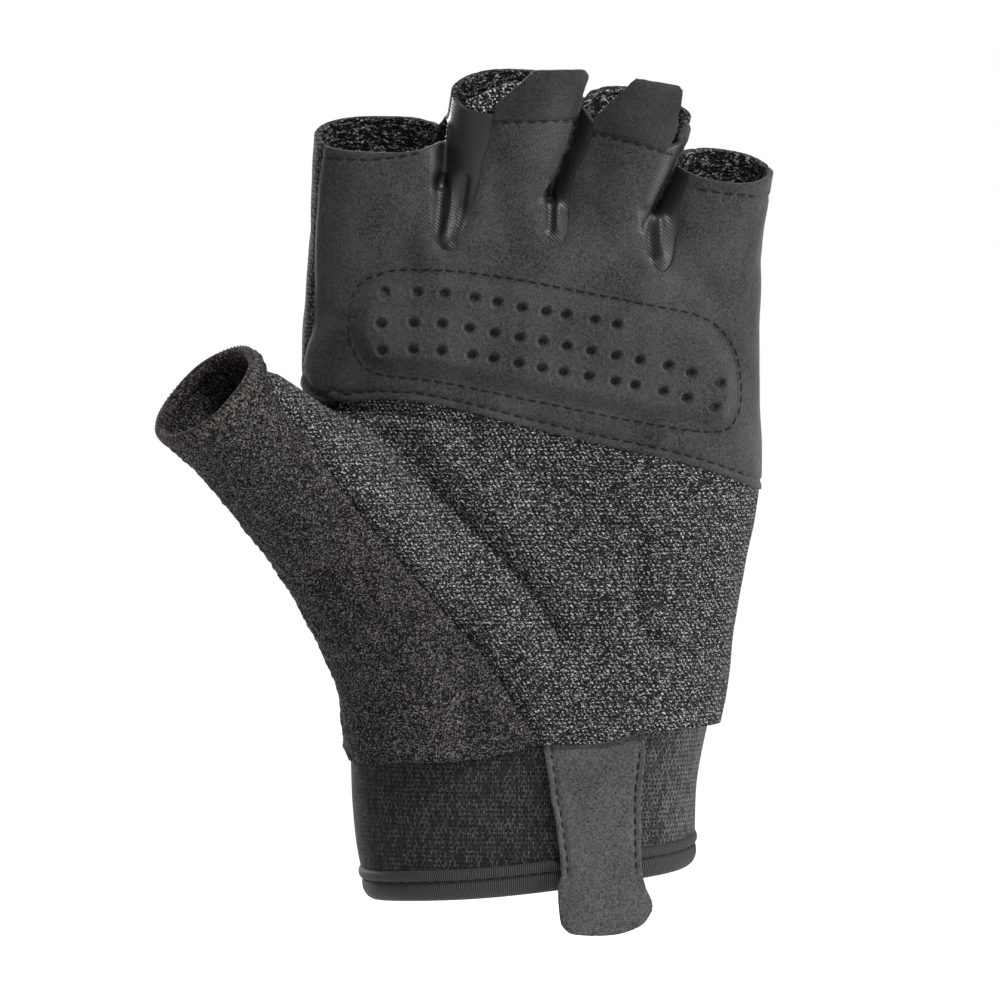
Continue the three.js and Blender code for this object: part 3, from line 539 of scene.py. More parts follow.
def add_object(name, points, faces, material, slot, *nodes, uv=None, inside=None):
    """A piece of the glove, in place, standing for the named CAD nodes; inside is (material, faces)."""
    mesh = bpy.data.meshes.new(name)
    mesh.from_pydata((np.asarray(points) * MM).tolist(), [], faces)
    mesh.polygons.foreach_set("use_smooth", [True] * len(mesh.polygons))
    if uv is not None:
        layer = mesh.uv_layers.new(name="cloth")
        loops = np.empty(len(mesh.loops), int)
        mesh.loops.foreach_get("vertex_index", loops)
        spots = uv[loops]
        starts = np.empty(len(mesh.polygons), int)
        mesh.polygons.foreach_get("loop_start", starts)
        lead = np.repeat(spots[starts, 0], np.diff(np.append(starts, len(loops))))
        period = uv[:, 0].max() - uv[:, 0].min()
        spots[:, 0] += np.round((lead - spots[:, 0]) / period) * period
        layer.data.foreach_set("uv", spots.ravel())
    mesh.materials.append(material)
    if inside:
        mesh.materials.append(inside[0])
        count = inside[1]
        mesh.polygons.foreach_set("material_index", [int(count <= i < 2 * count) for i in range(len(faces))])
    mesh.validate()
    obj = bpy.data.objects.new(name, mesh)
    bpy.context.scene.collection.objects.link(obj)
    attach(obj, "root")
    if nodes:
        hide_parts(*nodes)
    return obj


# Materials
# Noises at a scale of one unit, and the scale at which one band of a wave is one unit wide
SOFT = {"Scale": 1.0, "Detail": 2.0, "Roughness": 0.5}
ROUGH = {"Scale": 1.0, "Detail": 3.0, "Roughness": 0.7}
ONE_BAND = 0.314


def linear(colour):
    """A linear colour from sRGB hex."""
    parts = [int(colour[i : i + 2], 16) / 255 for i in (0, 2, 4)]
    return (*[c / 12.92 if c <= 0.04045 else ((c + 0.055) / 1.055) ** 2.4 for c in parts], 1.0)


def new_material(name):
    material = bpy.data.materials.new(name)
    material.use_nodes = True
    tree = material.node_tree
    tree.nodes.clear()
    output = tree.nodes.new("ShaderNodeOutputMaterial")
    shader = tree.nodes.new("ShaderNodeBsdfPrincipled")
    tree.links.new(shader.outputs[0], output.inputs[0])
    return material, tree, shader


def node(tree, kind, inputs, stops=(), **settings):
    """Adds a node, with constants or links on its inputs and stops on its ramp, and returns its first output."""
    made = tree.nodes.new("ShaderNode" + kind)
    for key, value in settings.items():
        setattr(made, key, value)
    for key, value in inputs.items():
        if isinstance(value, bpy.types.NodeSocket):
            tree.links.new(value, made.inputs[key])
        else:
            made.inputs[key].default_value = value
    for i, (position, colour) in enumerate(stops):
        elements = made.color_ramp.elements
        element = elements[i] if i < 2 else elements.new(position)
        element.position, element.color = position, linear(colour)
    return made.outputs[0]


def place(tree, stretch=(1, 1, 1), uv=False):
    """Coordinates in millimetres, divided by the pattern's size."""
    made = tree.nodes.new("ShaderNodeTexCoord")
    source = made.outputs["UV" if uv else "Object"]
    scale = [1 / s if uv else 1000 / s for s in stretch]
    return node(tree, "Mapping", {"Vector": source, "Scale": scale})


def cells(tree, *size):
    """Distance from the middle of small cells of that size, and a tone of its own for each."""
    made = node(tree, "TexVoronoi", {"Vector": place(tree, size), "Scale": 1.0})
    return made, node(tree, "SeparateColor", {"Color": made.node.outputs["Color"]})


def finish_cloth(tree, shader, colour, height, depth, roughness, specular, sheen=0.0):
    """Colour, roughness and a bump of that depth in millimetres."""
    tree.links.new(colour, shader.inputs["Base Color"])
    shader.inputs["Roughness"].default_value = roughness
    shader.inputs["Sheen Weight"].default_value = sheen
    shader.inputs["Sheen Roughness"].default_value = 0.4
    shader.inputs["Specular IOR Level"].default_value = specular
    bump = node(tree, "Bump", {"Height": height, "Distance": depth * MM, "Strength": 1.0})
    tree.links.new(bump, shader.inputs["Normal"])


def suede(name, dark, light, speckle, crisp=0.0):
    """Microfibre suede: a short speckled nap with faint cloudy brushing, sharper with crisp up to 0.4.

    The nap is too fine to show at the photo's size, so it is drawn coarser, at 0.24 to 0.45 mm.
    """
    material, tree, shader = new_material(name)
    nap = node(tree, "TexNoise", {"Vector": place(tree, (0.35, 0.35, 0.45))} | ROUGH)
    cloud = node(tree, "TexNoise", {"Vector": place(tree, (9, 9, 14))} | SOFT)
    fibres, clouds = [node(tree, "MapRange", {"Value": v, "From Min": 0.3, "From Max": 0.7}) for v in (nap, cloud)]
    short = node(tree, "Math", {0: fibres, 1: 0.4}, operation="MULTIPLY")
    short = node(tree, "Math", {0: cells(tree, 0.24, 0.24, 0.24)[1], 1: 0.6, 2: short}, operation="MULTIPLY_ADD")
    mix = node(tree, "Math", {0: short, 1: speckle, 2: clouds}, operation="MULTIPLY_ADD")
    mix = node(tree, "Math", {0: mix, 1: 1 / (1 + speckle)}, operation="MULTIPLY")
    colour = node(tree, "ValToRGB", {0: mix}, [(crisp, dark), (1 - crisp, light)])
    finish_cloth(tree, shader, colour, nap, 0.14, 0.95, 0.05, sheen=0.04)
    return material


def knit(name, size, pitch, dark, middle, light):
    """Textured knit: threads of that size, each lit its own way, in staggered rows with dark holes between."""
    material, tree, shader = new_material(name)
    off_middle, tone = cells(tree, size * 1.25, size, size * 0.85)
    fall = node(tree, "Math", {0: off_middle, 1: -0.8, 2: 1.0}, operation="MULTIPLY_ADD")
    fleck = node(tree, "Math", {0: tone, 1: fall}, operation="MULTIPLY")
    fleck = node(tree, "MapRange", {"Value": fleck, "From Min": 0.02, "From Max": 0.72})
    spot = node(tree, "SeparateXYZ", {"Vector": place(tree, (pitch, pitch, pitch * 0.88))}).node.outputs
    slant = node(tree, "Math", {0: spot["Z"], 1: 0.5, 2: spot["X"]}, operation="MULTIPLY_ADD")
    rows = node(tree, "CombineXYZ", {"X": slant, "Y": spot["Z"]})
    loop = node(tree, "TexVoronoi", {"Vector": rows, "Scale": 1.0, "Randomness": 0.3}, voronoi_dimensions="2D")
    height = node(tree, "Math", {0: loop, 1: -1.0, 2: 1.15}, operation="MULTIPLY_ADD")
    mix = node(tree, "Math", {0: fleck, 1: height}, operation="MULTIPLY")
    colour = node(tree, "ValToRGB", {0: mix}, [(0.0, dark), (1.0, light), (0.4, middle)])
    finish_cloth(tree, shader, colour, height, 0.3, 0.9, 0.04)
    return material


def shaded_mesh_inside(name, dark, middle, light):
    """Inner side of the back mesh: dark thread with small pale flecks in uneven patches, its darker tones partly
    painted shade inside the glove.
    """
    material, tree, shader = new_material(name)
    patch = node(tree, "TexNoise", {"Vector": place(tree, (1.3, 1.3, 0.6))} | ROUGH | {"Roughness": 0.6})
    share = node(tree, "MapRange", {"Value": patch, "From Min": 0.3, "From Max": 0.6})
    mix = node(tree, "Math", {0: cells(tree, 0.3, 0.24, 0.17)[1], 1: share}, operation="MULTIPLY")
    colour = node(tree, "ValToRGB", {0: mix}, [(0.0, dark), (1.0, light), (0.45, middle)])
    finish_cloth(tree, shader, colour, patch, 0.3, 0.9, 0.05)
    return material


def terry(name, dark, middle, light):
    """Brushed terry: matted tufts of fine curly fibres that lie all ways, drawn coarser to show."""
    material, tree, shader = new_material(name)
    cloud = node(tree, "TexNoise", {"Vector": place(tree, (7, 7, 7))} | SOFT)
    fibres = [
        node(tree, "TexNoise", {"Vector": place(tree, size)} | ROUGH)
        for size in ((0.9, 0.9, 0.24), (0.24, 0.9, 0.8), (0.4, 0.4, 0.4))
    ]
    tuft = node(tree, "Math", {0: fibres[0], 1: fibres[1]}, operation="MAXIMUM")
    tuft = node(tree, "Math", {0: tuft, 1: fibres[2]}, operation="ADD")
    mix = node(tree, "Math", {0: cloud, 1: 0.14, 2: tuft}, operation="MULTIPLY_ADD")
    mix = node(tree, "Math", {0: cells(tree, 0.21, 0.21, 0.21)[1], 1: 0.5, 2: mix}, operation="MULTIPLY_ADD")
    mix = node(tree, "MapRange", {"Value": mix, "From Min": 1.12, "From Max": 1.72})
    colour = node(tree, "ValToRGB", {0: mix}, [(0.0, dark), (1.0, light), (0.5, middle)])
    finish_cloth(tree, shader, colour, tuft, 0.3, 1.0, 0.04)
    return material


def ribbed(name, stretch, uv, direction, dark, light, depth, roughness, specular):
    """Fine ribs side by side, as on binding tape, or slanting, as on stretch fabric."""
    material, tree, shader = new_material(name)
    settings = {"Vector": place(tree, stretch, uv), "Scale": ONE_BAND, "Distortion": 0.4, "Detail": 1.0}
    rib = node(tree, "TexWave", settings, bands_direction=direction)
    colour = node(tree, "ValToRGB", {0: rib}, [(0.0, dark), (1.0, light)])
    finish_cloth(tree, shader, colour, rib, depth, roughness, specular)
    return material


def column_knit(name, pitch, dark, middle, light):
    """Elastic knit: fine upright columns of long stitches, staggered and unevenly dark, with painted light that
    lightens it towards the right.
    """
    material, tree, shader = new_material(name)
    spot = node(tree, "SeparateXYZ", {"Vector": place(tree, (pitch, pitch * 4, 1), True)}).node.outputs
    brick = {"Vector": node(tree, "CombineXYZ", {"X": spot["Y"], "Y": spot["X"]}), "Scale": 1.0, "Bias": 0.4}
    brick |= {"Brick Width": 1.0, "Row Height": 1.0, "Mortar Size": 0.14, "Mortar Smooth": 0.8}
    brick |= {"Color1": (0.08, 0.08, 0.08, 1.0), "Color2": (1.0, 1.0, 1.0, 1.0), "Mortar": (0.0, 0.0, 0.0, 1.0)}
    stitch = node(tree, "TexBrick", brick)
    tone = node(tree, "SeparateColor", {"Color": stitch})
    noise = {"Vector": place(tree, (pitch * 0.9, pitch * 0.6, pitch), True)} | ROUGH | {"Roughness": 0.65}
    thread = node(tree, "MapRange", {"Value": node(tree, "TexNoise", noise), "From Min": 0.25, "From Max": 0.75})
    thread = node(tree, "Math", {0: thread, 1: 0.15}, operation="MULTIPLY")
    thread = node(tree, "Math", {0: cells(tree, 0.23, 0.23, 0.23)[1], 1: 0.5, 2: thread}, operation="MULTIPLY_ADD")
    mix = node(tree, "Math", {0: tone, 1: 0.55, 2: thread}, operation="MULTIPLY_ADD")
    # Painted light: the knit is lightened towards the right, where the light falls on it.
    across = node(tree, "SeparateXYZ", {"Vector": place(tree)})
    painted_side_light = node(tree, "MapRange", {"Value": across, "From Min": 16, "From Max": 34})
    mix = node(tree, "Math", {0: painted_side_light, 1: 0.4, 2: mix}, operation="MULTIPLY_ADD")
    mix = node(tree, "MapRange", {"Value": mix, "From Min": 0.1, "From Max": 1.5})
    colour = node(tree, "ValToRGB", {0: mix}, [(0.0, dark), (1.0, light), (0.5, middle)])
    height = node(tree, "Math", {0: 1.0, 1: stitch.node.outputs["Fac"]}, operation="SUBTRACT")
    finish_cloth(tree, shader, colour, height, 0.1, 0.9, 0.05)
    return material


SUEDE = suede("microfibre suede", "010101", "262525", 2.5, 0.06)
# The tabs are the palm's suede in darker colours: painted shade on the tabs.
SHADED_TAB_SUEDE = suede("microfibre suede of the tabs with painted shade", "040404", "201f1e", 2.2, 0.06)
PAD_SUEDE = suede("embossed microfibre suede", "040404", "272625", 3.0, 0.05)
STRAP_SUEDE = suede("heathered microfibre suede", "030303", "302f2f", 3.5, 0.05)
KNIT = knit("textured palm knit", 0.22, 0.84, "020202", "0f0f0f", "6b6a6a")
TERRY = terry("brushed terry", "010101", "0f0e0e", "423f3f")
MESH = knit("back mesh", 0.36, 0.9, "050505", "161515", "4c4947")
# The back mesh's inner side is darker than its outer side: its own dark thread and flecks, with painted shade for the
# inside of the glove.
SHADED_MESH_INSIDE = shaded_mesh_inside("back mesh inside with painted shade", "010101", "0a0909", "6f6c6a")
LINING = knit("flecked lining mesh", 0.32, 0.8, "040404", "202022", "9c9c9e")
STRETCH = ribbed("stretch fabric", (0.36, 1000, 0.36), False, "DIAGONAL", "020203", "0b0b0d", 0.03, 0.5, 0.16)
CUFF_KNIT = column_knit("elastic cuff knit", 0.44, "000000", "111111", "3b3b3b")
TAPE = ribbed("grosgrain binding tape", (0.4, 0.4, 0.4), True, "X", "000000", "242425", 0.14, 0.8, 0.08)
THREAD = suede("sewing thread", "020202", "0e0e0d", 0.5)
OVERLOCK = terry("overlocked terry edge", "020202", "110f0f", "45413f")
WHIP = suede("overlock thread", "080706", "363330", 1.0)

# Build the form and cut it along the pattern.
form = joined_form()
press_folds(form)
sheet_tree = BVHTree.FromPolygons([v.co for v in form.vertices], [tuple(p.vertices) for p in form.polygons])
below_hem = open_line(HEM)
suede_edge = open_line(SUEDE_EDGE)
seam = open_line(SEAM)
back_seam = open_line(BACK_SEAM)
forks = {name: inside_of(shares, 5) for name, shares in FORKS.items()}
tabs = {name: inside_of(shares, smooth=False) for name, shares in TABS.items()}
linings = {name: inside_of(shares, smooth=False) for name, shares in LININGS.items()}
pad = inside_of(PAD)
STITCH_LINE, GROOVE = 1.4, 0.45  # the suede's lower stitches above its edge, and their groove's half width


def suede_line(points):
    """Signed distance to the suede's edge, which leaves the thumb's inner side to the knit."""
    ahead = np.clip(-10 - points[:, 1], 0, 20)
    return suede_edge(points) - 1.5 * ahead * ease_in((-34 - points[:, 0]) / 4)


def finger_zone(points, index):
    zone = points[:, 2] > FINGERS_FROM
    if index > 0:
        zone &= slot_distance(points, SLOTS[index - 1])[0] > 0
    if index < len(SLOTS):
        zone &= slot_distance(points, SLOTS[index])[0] < 0
    return zone & (points[:, 0] > THUMB_RIGHT)


def rim_distance(points, rows, zone):
    """Distance past the rim of a tube, for points in its zone."""
    centre, _, _, along = ring_axes(np.array(rows[-1:], float))
    return np.where(zone, (points - centre[0]) @ along[0], -NOT_NEAR)


def thumb_zone(points):
    return (points[:, 0] < THUMB_RIGHT) & (points[:, 2] < THUMB_TOP)


rims = [
    lambda points, i=i, rows=rows: rim_distance(points, rows, finger_zone(points, i))
    for i, rows in enumerate(FINGERS.values())
]


def thumb_rim(points):
    return rim_distance(points, THUMB, thumb_zone(points)) + THUMB_HEM


def fork_back(points):
    """Distance behind the line where the fourchettes meet the back mesh, which comes forward at the ring's right."""
    x, z = points[:, 0], points[:, 2]
    at_rims = 3 * ease_in((z - 118) / 15)
    at_ring = 7 * ease_in((z - 121) / 8) * ease_in((x - 17) / 3)
    return side_distance(points) - 4 + at_rims + np.where(slot_distance(points, SLOTS[2])[0] < 0, at_ring, 0)


def between_fingers(slot):
    return lambda points: np.where(points[:, 2] > SLOTS_FROM, slot_distance(points, slot)[0], NOT_NEAR)


hem_stitches = {name: open_line(shares, 10) for name, shares in HEM_STITCHES.items()}
lines = [
    below_hem, suede_line, seam, back_seam, side_distance, thumb_rim, *rims, *forks.values(), *tabs.values(),
]
lines += [between_fingers(slot) for slot in SLOTS]
lines += [lambda points: np.where(points[:, 2] > FORKS_FROM, fork_back(points), NOT_NEAR)]
lines += [
    lambda points, name=name: np.where(tabs[name](points) < OUTLINE_REACH, hem_stitches[name](points), NOT_NEAR)
    for name in TABS
]
lines += [lambda points, up=up: suede_line(points) - STITCH_LINE - up for up in (-GROOVE, 0, GROOVE)]
bm = bmesh.new()
bm.from_mesh(form)
for signed in lines:
    cut(bm, signed)
points, normals, faces = arrays(bm)
bm.free()
middle = centres(points, faces)
on_palm = side_distance(middle) < 0
past = np.max([rim(middle) for rim in rims], axis=0) > 0
thumb_side = np.where(on_palm, seam(middle) < 0, back_seam(middle) < 0)
kept = (below_hem(middle) > 0) & ~((thumb_rim(middle) > 0) & thumb_zone(middle))
fork_at = {
    name: (signed(middle) < 0) & (middle[:, 2] > FORKS_FROM) & (fork_back(middle) < 0)
    for name, signed in forks.items()
}
in_fork = np.any(list(fork_at.values()), axis=0)
zones = {name: finger_zone(middle, i) for i, name in enumerate(FINGERS)}
tab_at = {
    name: (signed(middle) < 0) & on_palm & zones[name] & ~in_fork & (hem_stitches[name](middle) > 0)
    for name, signed in tabs.items()
}
in_tab = np.any(list(tab_at.values()), axis=0)
rest = kept & ~past & ~thumb_side & ~in_fork & ~in_tab


def edge_dip(points, signed_list, width, depth):
    """How far a panel sinks at its seams."""
    nearest_edge = np.min([np.abs(signed(points)) for signed in signed_list], axis=0)
    return -depth * np.exp(-((nearest_edge / width) ** 2))


def panel(name, keep, lift, wall, bulge, material, slot, inside=None):
    own, own_normals, own_faces = part_of(points, normals, faces, keep)
    own = own + own_normals * np.broadcast_to(lift(own), len(own))[:, None]
    verts, made = thicken(own, own_normals, own_faces, wall, bulge)
    inner = (inside, len(own_faces)) if inside else None
    return add_object(name, verts, made, material, slot, name, inside=inner)


fork_lines = list(forks.values())


def hem_distance(spots):
    """Distance to the stitches under the rim of a point's own finger."""
    nearest_line = np.full(len(spots), NOT_NEAR)
    for i, signed in enumerate(hem_stitches.values()):
        nearest_line = np.where(finger_zone(spots, i), np.abs(signed(spots)), nearest_line)
    return nearest_line


def suede_lift(spots):
    groove = -0.35 * np.exp(-(((suede_line(spots) - STITCH_LINE) / GROOVE) ** 2))
    groove -= 0.25 * np.exp(-((hem_distance(spots) / 0.4) ** 2))
    return 0.45 + edge_dip(spots, [side_distance, *fork_lines], 0.8, 0.35) + groove


def terry_lift(spots):
    fuzz = 0.25 * ripple(spots, 5, 6) + 0.2 * ripple(spots, 2.3, 5) + 0.16 * ripple(spots, 1.4, 7)
    return 0.4 + edge_dip(spots, [below_hem], 1.5, 0.6) + edge_dip(spots, [seam], 0.9, 1.1) + fuzz


def knit_lift(spots):
    return edge_dip(spots, [seam], 0.9, 1.0)


def back_lift(spots):
    return edge_dip(spots, [side_distance, back_seam, *fork_lines], 0.8, 0.3)


panel("palm_suede_panel", rest & on_palm & (suede_line(middle) > 0), suede_lift, 1.1, 0.15, SUEDE, "suede")
panel("palm_knit_panel", rest & on_palm & (suede_line(middle) < 0), knit_lift, 1.3, 0.1, KNIT, "palm_knit")
panel("back_panel", rest & ~on_palm, back_lift, 1.2, 0.1, MESH, "back_mesh", SHADED_MESH_INSIDE)
panel("thumb_terry_panel", kept & ~past & thumb_side, terry_lift, 1.4, 0.1, TERRY, "terry")
for name in FORKS:
    panel(
        "fourchette_" + name, kept & ~past & fork_at[name] & ~thumb_side,
        lambda s, name=name: -0.1 + edge_dip(s, [forks[name]], 0.8, 0.25), 1.0, 0.1, STRETCH, "stretch_fabric",
    )
for name in TABS:
    panel(
        name + "_pull_tab", tab_at[name],
        lambda s, name=name: 0.45 - 0.25 * np.exp(-((hem_stitches[name](s) / 0.4) ** 2)),
        1.1, 0.1, SHADED_TAB_SUEDE, "suede",
    )

# Linings behind the pull tabs
for name, signed in linings.items():
    own, _, own_faces = part_of(points, normals, faces, zones[name] & on_palm & (signed(middle) < 2))
    own, own_normals, own_faces = cut_out(own, own_faces, [signed])
    verts, made = thicken(own - own_normals * 1.5, own_normals, own_faces, 0.8, 0.1)
    add_object(name + "_tab_lining", verts, made, LINING, "lining_mesh", name + "_tab_lining")


# Grip pad: raised on the suede, with a soft shoulder and rows of dimples
def dimple_centres():
    line = line_points(DIMPLE_LINE, 8)
    spots = []
    for rise, x in DIMPLE_ROWS:
        spots += zip(x, np.interp(x, line[:, 0], line[:, 1]) + rise * LENGTH)
    return spots


own, _, own_faces = part_of(points, normals, faces, rest & on_palm & (pad(middle) < 1.5))
bm = surface(own, own_faces)
cut(bm, pad)
own, _, own_faces = arrays(bm)
beyond = [face for face, outside in zip(list(bm.faces), pad(centres(own, own_faces)) > 0) if outside]
bmesh.ops.delete(bm, geom=beyond, context="FACES")
bmesh.ops.subdivide_edges(bm, edges=list(bm.edges), cuts=2, use_grid_fill=True)
own, own_normals, own_faces = arrays(bm)
bm.free()
height = 0.25 + 1.7 * ease_in((-pad(own) - 0.4) / 3.8) - 0.3 * np.exp(-((pad(own) / 0.5) ** 2))
for x, z in dimple_centres():
    reach = np.hypot(own[:, 0] - x, own[:, 2] - z)
    height -= DIMPLE_DEPTH * ease_in((DIMPLE_RADIUS * 1.1 - reach) / (DIMPLE_RADIUS * 0.6))
    height += 0.08 * np.exp(-(((reach - DIMPLE_RADIUS * 1.3) / 0.3) ** 2))
own = own + own_normals * (height + 0.2)[:, None]
verts, made = thicken(own, own_normals, own_faces, 0.5, 0.05, 1)
grip_pad = add_object("grip_pad", verts, made, PAD_SUEDE, "pad_suede", "grip_pad")


# Stitches
def bead(length, width, height):
    """A small rounded stitch along +X that stands on +Z."""
    bead_mesh = bmesh.new()
    bmesh.ops.create_uvsphere(bead_mesh, u_segments=6, v_segments=6, radius=0.5)
    verts = np.array([v.co for v in bead_mesh.verts])[:, [2, 0, 1]] * (length, width, height)
    made = [tuple(v.index for v in face.verts) for face in bead_mesh.faces]
    bead_mesh.free()
    return verts, made


def resample(path, pitch):
    path = np.array(path)
    steps = np.linalg.norm(np.diff(path, axis=0), axis=1)
    along = np.concatenate([[0], np.cumsum(steps)])
    count = max(int(along[-1] / pitch), 1)
    at = (np.arange(count) + 0.5) * along[-1] / count
    ahead = np.stack([np.interp(at + 0.1, along, path[:, k]) for k in range(3)], 1)
    behind = np.stack([np.interp(at - 0.1, along, path[:, k]) for k in range(3)], 1)
    return (ahead + behind) / 2, ahead - behind


def sew(name, runs, size, material, slot, slant=0.0):
    """One object with a stitch at each place of the runs: (places, directions, normals)."""
    template, template_faces = bead(*size)
    verts, made = [], []
    for places, ways, ups in runs:
        for place_at, way, up in zip(places, ways, ups):
            up = up / np.linalg.norm(up)
            way = way - up * (way @ up)
            way /= np.linalg.norm(way)
            side = np.cross(up, way)
            way, side = way * math.cos(slant) + side * math.sin(slant), side * math.cos(slant) - way * math.sin(slant)
            base = len(verts)
            verts += (place_at + template @ np.array([way, side, up])).tolist()
            made += [tuple(base + i for i in face) for face in template_faces]
    return add_object(name, verts, made, material, slot)


def cast(tree, line, lift):
    """Where (x, z) places lie on a surface seen from the palm side, raised by the lift, and its normals there."""
    spots, ups = [], []
    for x, z in line:
        hit, normal, _, _ = tree.ray_cast(Vector((x, PALM_SIDE, z)), Vector((0, 1, 0)))
        if hit is not None:
            spots.append(hit + normal * lift)
            ups.append(normal)
    return np.array(spots), np.array(ups)


def on_front(line, lift, pitch=2.3):
    """Stitch places along an XZ line on the palm side of the form."""
    spots, ups = cast(sheet_tree, line, lift)
    places, ways = resample(spots, pitch)
    return places, ways, [ups[np.argmin(((spots - p) ** 2).sum(1))] for p in places]


def shifted(line, distance, closed=False):
    ahead = np.roll(line, -1, 0) if closed else np.vstack([line[1:], line[-1:]])
    behind = np.roll(line, 1, 0) if closed else np.vstack([line[:1], line[:-1]])
    way = ahead - behind
    way /= np.linalg.norm(way, axis=1)[:, None]
    return line + np.stack([-way[:, 1], way[:, 0]], 1) * distance


edge_line = shifted(line_points(SUEDE_EDGE, 12), STITCH_LINE)
edge_line = edge_line[(edge_line[:, 0] > -41) & (edge_line[:, 0] < 40)]
pad_line = line_points(PAD, 12, True)
pad_line = np.vstack([pad_line, pad_line[:1]])
runs = [on_front(edge_line, 0.25), on_front(pad_line, 0.5, 2.2)]
runs += [on_front(line_points(shares, 10), 0.36, 2.2) for shares in HEM_STITCHES.values()]
sew("palm_stitches", runs, (1.65, 0.42, 0.3), THREAD, "suede")

# Thumb opening: a rolled rim, whipped over with thread
tip = np.array(THUMB[-1:], float)
RIM_PROFILE = [
    (0.2, -2.9), (0.65, -2.3), (0.75, -1.4), (0.65, -0.6), (0.3, -0.1), (-0.3, 0.1), (-0.9, -0.1), (-1.3, -0.7),
    (-1.4, -1.6), (-1.3, -2.6), (-0.8, -3.2),
]


def swept(row, profile, sides, wobble=0.0):
    """A band round a section's ring; its profile is outwards and upwards from the ring."""
    along = ring_axes(row)[3][0]
    angles = turn(sides)
    loops = []
    for out, rise in profile:
        ring = rings(row, angles, out)[0] + along * rise
        loops.append(ring + along * wobble * np.sin(angles * 5 + 1)[:, None])
    made = grid_faces(len(profile) + 1, sides)
    count = len(profile) * sides
    return np.vstack(loops), [tuple(i % count for i in face) for face in made]


verts, made = swept(tip, RIM_PROFILE, 130, 0.12)
add_object("thumb_opening_hem", verts, made, OVERLOCK, "overlock_thread", "thumb_opening_hem")
whip = rings(tip, turn(76), 0.5)[0]
axis = ring_axes(tip)[3][0]
outward = whip - ring_axes(tip)[0][0]
whip_run = (whip - axis * 1.3, [axis] * len(whip), outward)
sew("thumb_whip_stitches", [whip_run], (2.6, 0.5, 0.55), WHIP, "overlock_thread", 0.35)


# Wrist: cuff, binding and pull strap
def arc_uv(verts):
    """Round the wrist and up it, in millimetres."""
    return np.stack([np.arctan2(verts[:, 0], -verts[:, 1] * 1.3) * 27, verts[:, 2]], 1)


SIDES = 230
rows = smooth_rows(CUFF, 14)[4:]
grid = rings(rows, turn(SIDES)).reshape(-1, 3)
own, own_normals, own_faces = cut_out(grid, grid_faces(len(rows), SIDES), [below_hem])
own = own + own_normals * (0.15 * ripple(own, 14, 3))[:, None]
verts, made = thicken(own, own_normals, own_faces, 1.4, 0.0, 1)
add_object("wrist_cuff", verts, made, CUFF_KNIT, "cuff_knit", "wrist_cuff", uv=arc_uv(verts))

hem = np.array(CUFF[:1], float)
# The binding's two rolls and the groove between them, outwards and upwards from the hem's ring
BINDING = [
    (-2.3, 4.0), (-1.2, 4.25), (0.0, 4.25), (0.5, 4.1), (0.82, 3.75), (0.92, 3.25), (0.85, 2.75), (0.6, 2.35),
    (0.05, 2.1), (0.3, 1.85), (0.48, 1.4), (0.5, 0.8), (0.42, 0.1), (0.15, -0.6), (-0.25, -1.2), (-0.8, -1.6),
    (-1.4, -1.7), (-2.0, -1.6), (-2.5, -1.0), (-2.65, 0.0), (-2.65, 3.0),
]
verts, made = swept(hem, BINDING[::-1], 260, 0.1)
add_object("hem_binding", verts, made, TAPE, "binding_tape", "hem_binding", uv=arc_uv(verts))
ring = rings(hem, turn(240), 0.3)[0]
places, ways = resample(np.vstack([ring, ring[:1]]) + ring_axes(hem)[3][0] * 2.12, 2.6)
sew("binding_stitches", [(places, ways, places * (1, 1.6, 0))], (1.9, 0.42, 0.35), THREAD, "binding_tape")

# The strap's face above its sections, the x of its middle, and the heights between which it is stitched
STRAP_LIFT, STRAP_MIDDLE, STITCHED_FROM, STITCHED_TO = 1.4, 12, 0.5, 24.5
strap = inside_of(STRAP_OUTLINE)
rows = smooth_rows(STRAP, 14)
angles = np.linspace(math.radians(-94), math.radians(-22), 110)
grid = rings(rows, angles, STRAP_LIFT).reshape(-1, 3)
margins = [lambda spots, inset=inset: strap(spots) + inset for inset in (0.6, 1.0, 1.4)]
own, own_normals, own_faces = cut_out(
    grid, grid_faces(len(rows), len(angles), False), [strap, below_hem], margins
)
dip = -0.35 * np.exp(-(((strap(own) + 1.1) / 0.45) ** 2)) * ease_in((own[:, 2] + 1) / 2)
dip -= 1.5 * ease_in(1 + below_hem(own) / 3.5)
own = own + own_normals * (dip + 0.1 * ripple(own, 9, 4))[:, None]
verts, made = thicken(own, own_normals, own_faces, 1.2, 0.2)
add_object("wrist_pull_strap", verts, made, STRAP_SUEDE, "strap_suede", "wrist_pull_strap")
strap_tree = BVHTree.FromPolygons([Vector(v) for v in own], own_faces)
strap_line = shifted(line_points(STRAP_OUTLINE, 12, True), 1.0, True)
runs = []
for left in (True, False):
    side = [spot for spot in strap_line if STITCHED_FROM < spot[1] < STITCHED_TO and (spot[0] < STRAP_MIDDLE) == left]
    spots, ups = cast(strap_tree, sorted(side, key=lambda spot: spot[1]), 0.05)
    places, ways = resample(spots, 2.0)
    runs.append((places, ways, [ups[len(ups) // 2]] * len(places)))
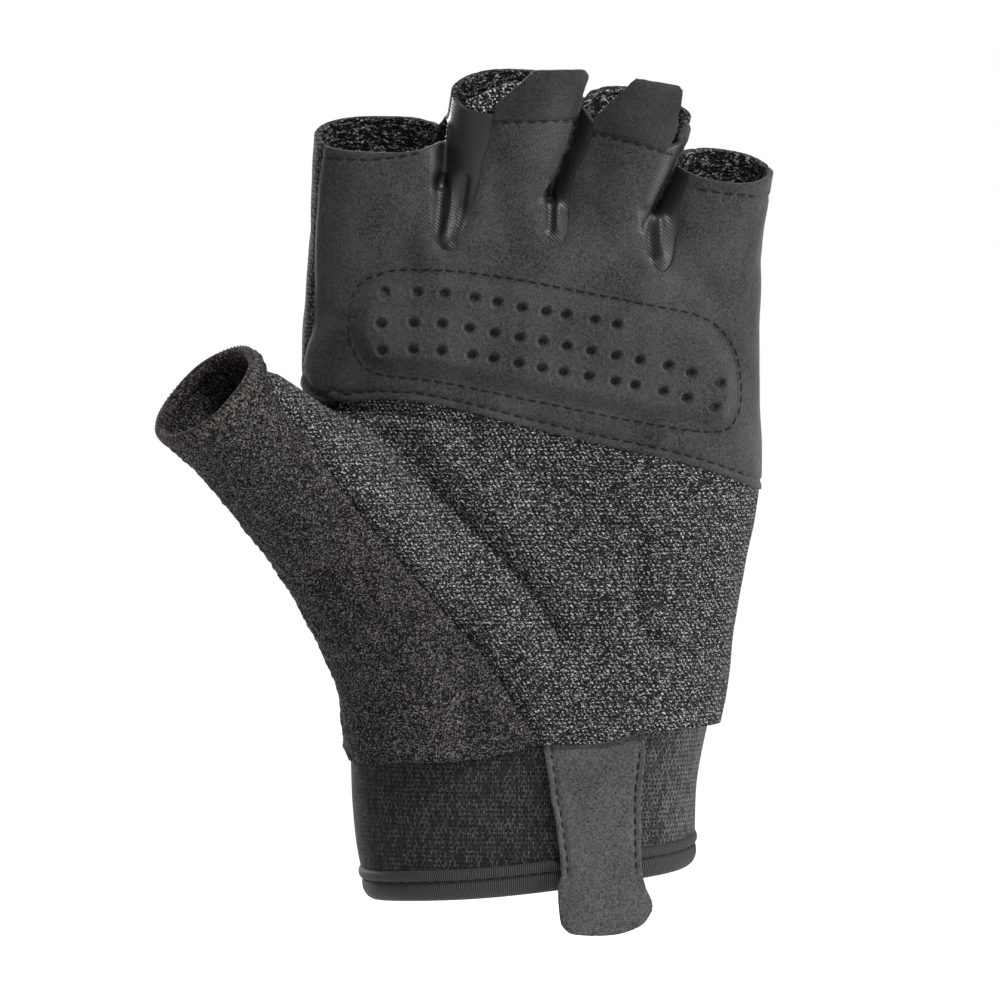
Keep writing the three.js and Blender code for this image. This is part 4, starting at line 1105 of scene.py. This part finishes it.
sew("strap_stitches", runs, (1.3, 0.42, 0.3), THREAD, "strap_suede")

# Stage, light and camera
def plain(name, colour, roughness):
    material, tree, shader = new_material(name)
    shader.inputs["Base Color"].default_value = linear(colour)
    shader.inputs["Roughness"].default_value = roughness
    return material


bpy.ops.mesh.primitive_plane_add(size=40, location=(0, 0, -0.16))
floor = bpy.context.object
floor.data.materials.append(plain("pale floor", "ffffff", 0.9))

world = bpy.context.scene.world or bpy.data.worlds.new("studio")
bpy.context.scene.world = world
world.use_nodes = True
world.node_tree.nodes["Background"].inputs["Color"].default_value = (1, 1, 1, 1)
world.node_tree.nodes["Background"].inputs["Strength"].default_value = 1.0


def lamp(name, power, size, place_at, target=(0, 0, 0.07)):
    data = bpy.data.lights.new(name, "AREA")
    data.energy, data.size = power, size
    obj = bpy.data.objects.new(name, data)
    obj.location = place_at
    obj.rotation_mode = "QUATERNION"
    obj.rotation_quaternion = (Vector(target) - Vector(place_at)).to_track_quat("-Z", "Y")
    bpy.context.scene.collection.objects.link(obj)


lamp("key", 46, 0.3, (0.25, -0.6, 1.05))
lamp("side", 40, 0.5, (1.1, -0.45, 0.1))
lamp("back", 60, 0.7, (-0.7, 1.2, 0.6))

# The photo's frame, seen with a long lens from just above the palm
FRAME_HEIGHT, SENSOR, DISTANCE, LIFT_ANGLE = 0.185, 36, 2.4, math.radians(3)
centre = Vector((-0.0055, -0.012, 0.0696))
back_way = Vector((0, -math.cos(LIFT_ANGLE), math.sin(LIFT_ANGLE)))
camera_data = bpy.data.cameras.new("camera")
camera = bpy.data.objects.new("camera", camera_data)
camera_data.sensor_width = SENSOR
camera_data.lens = SENSOR * DISTANCE / FRAME_HEIGHT
camera.location = centre + back_way * DISTANCE
camera.rotation_mode = "QUATERNION"
camera.rotation_quaternion = (-back_way).to_track_quat("-Z", "Y")
camera_data.clip_end = 100
bpy.context.scene.collection.objects.link(camera)
bpy.context.scene.camera = camera
bpy.context.scene.view_settings.view_transform = "Standard"
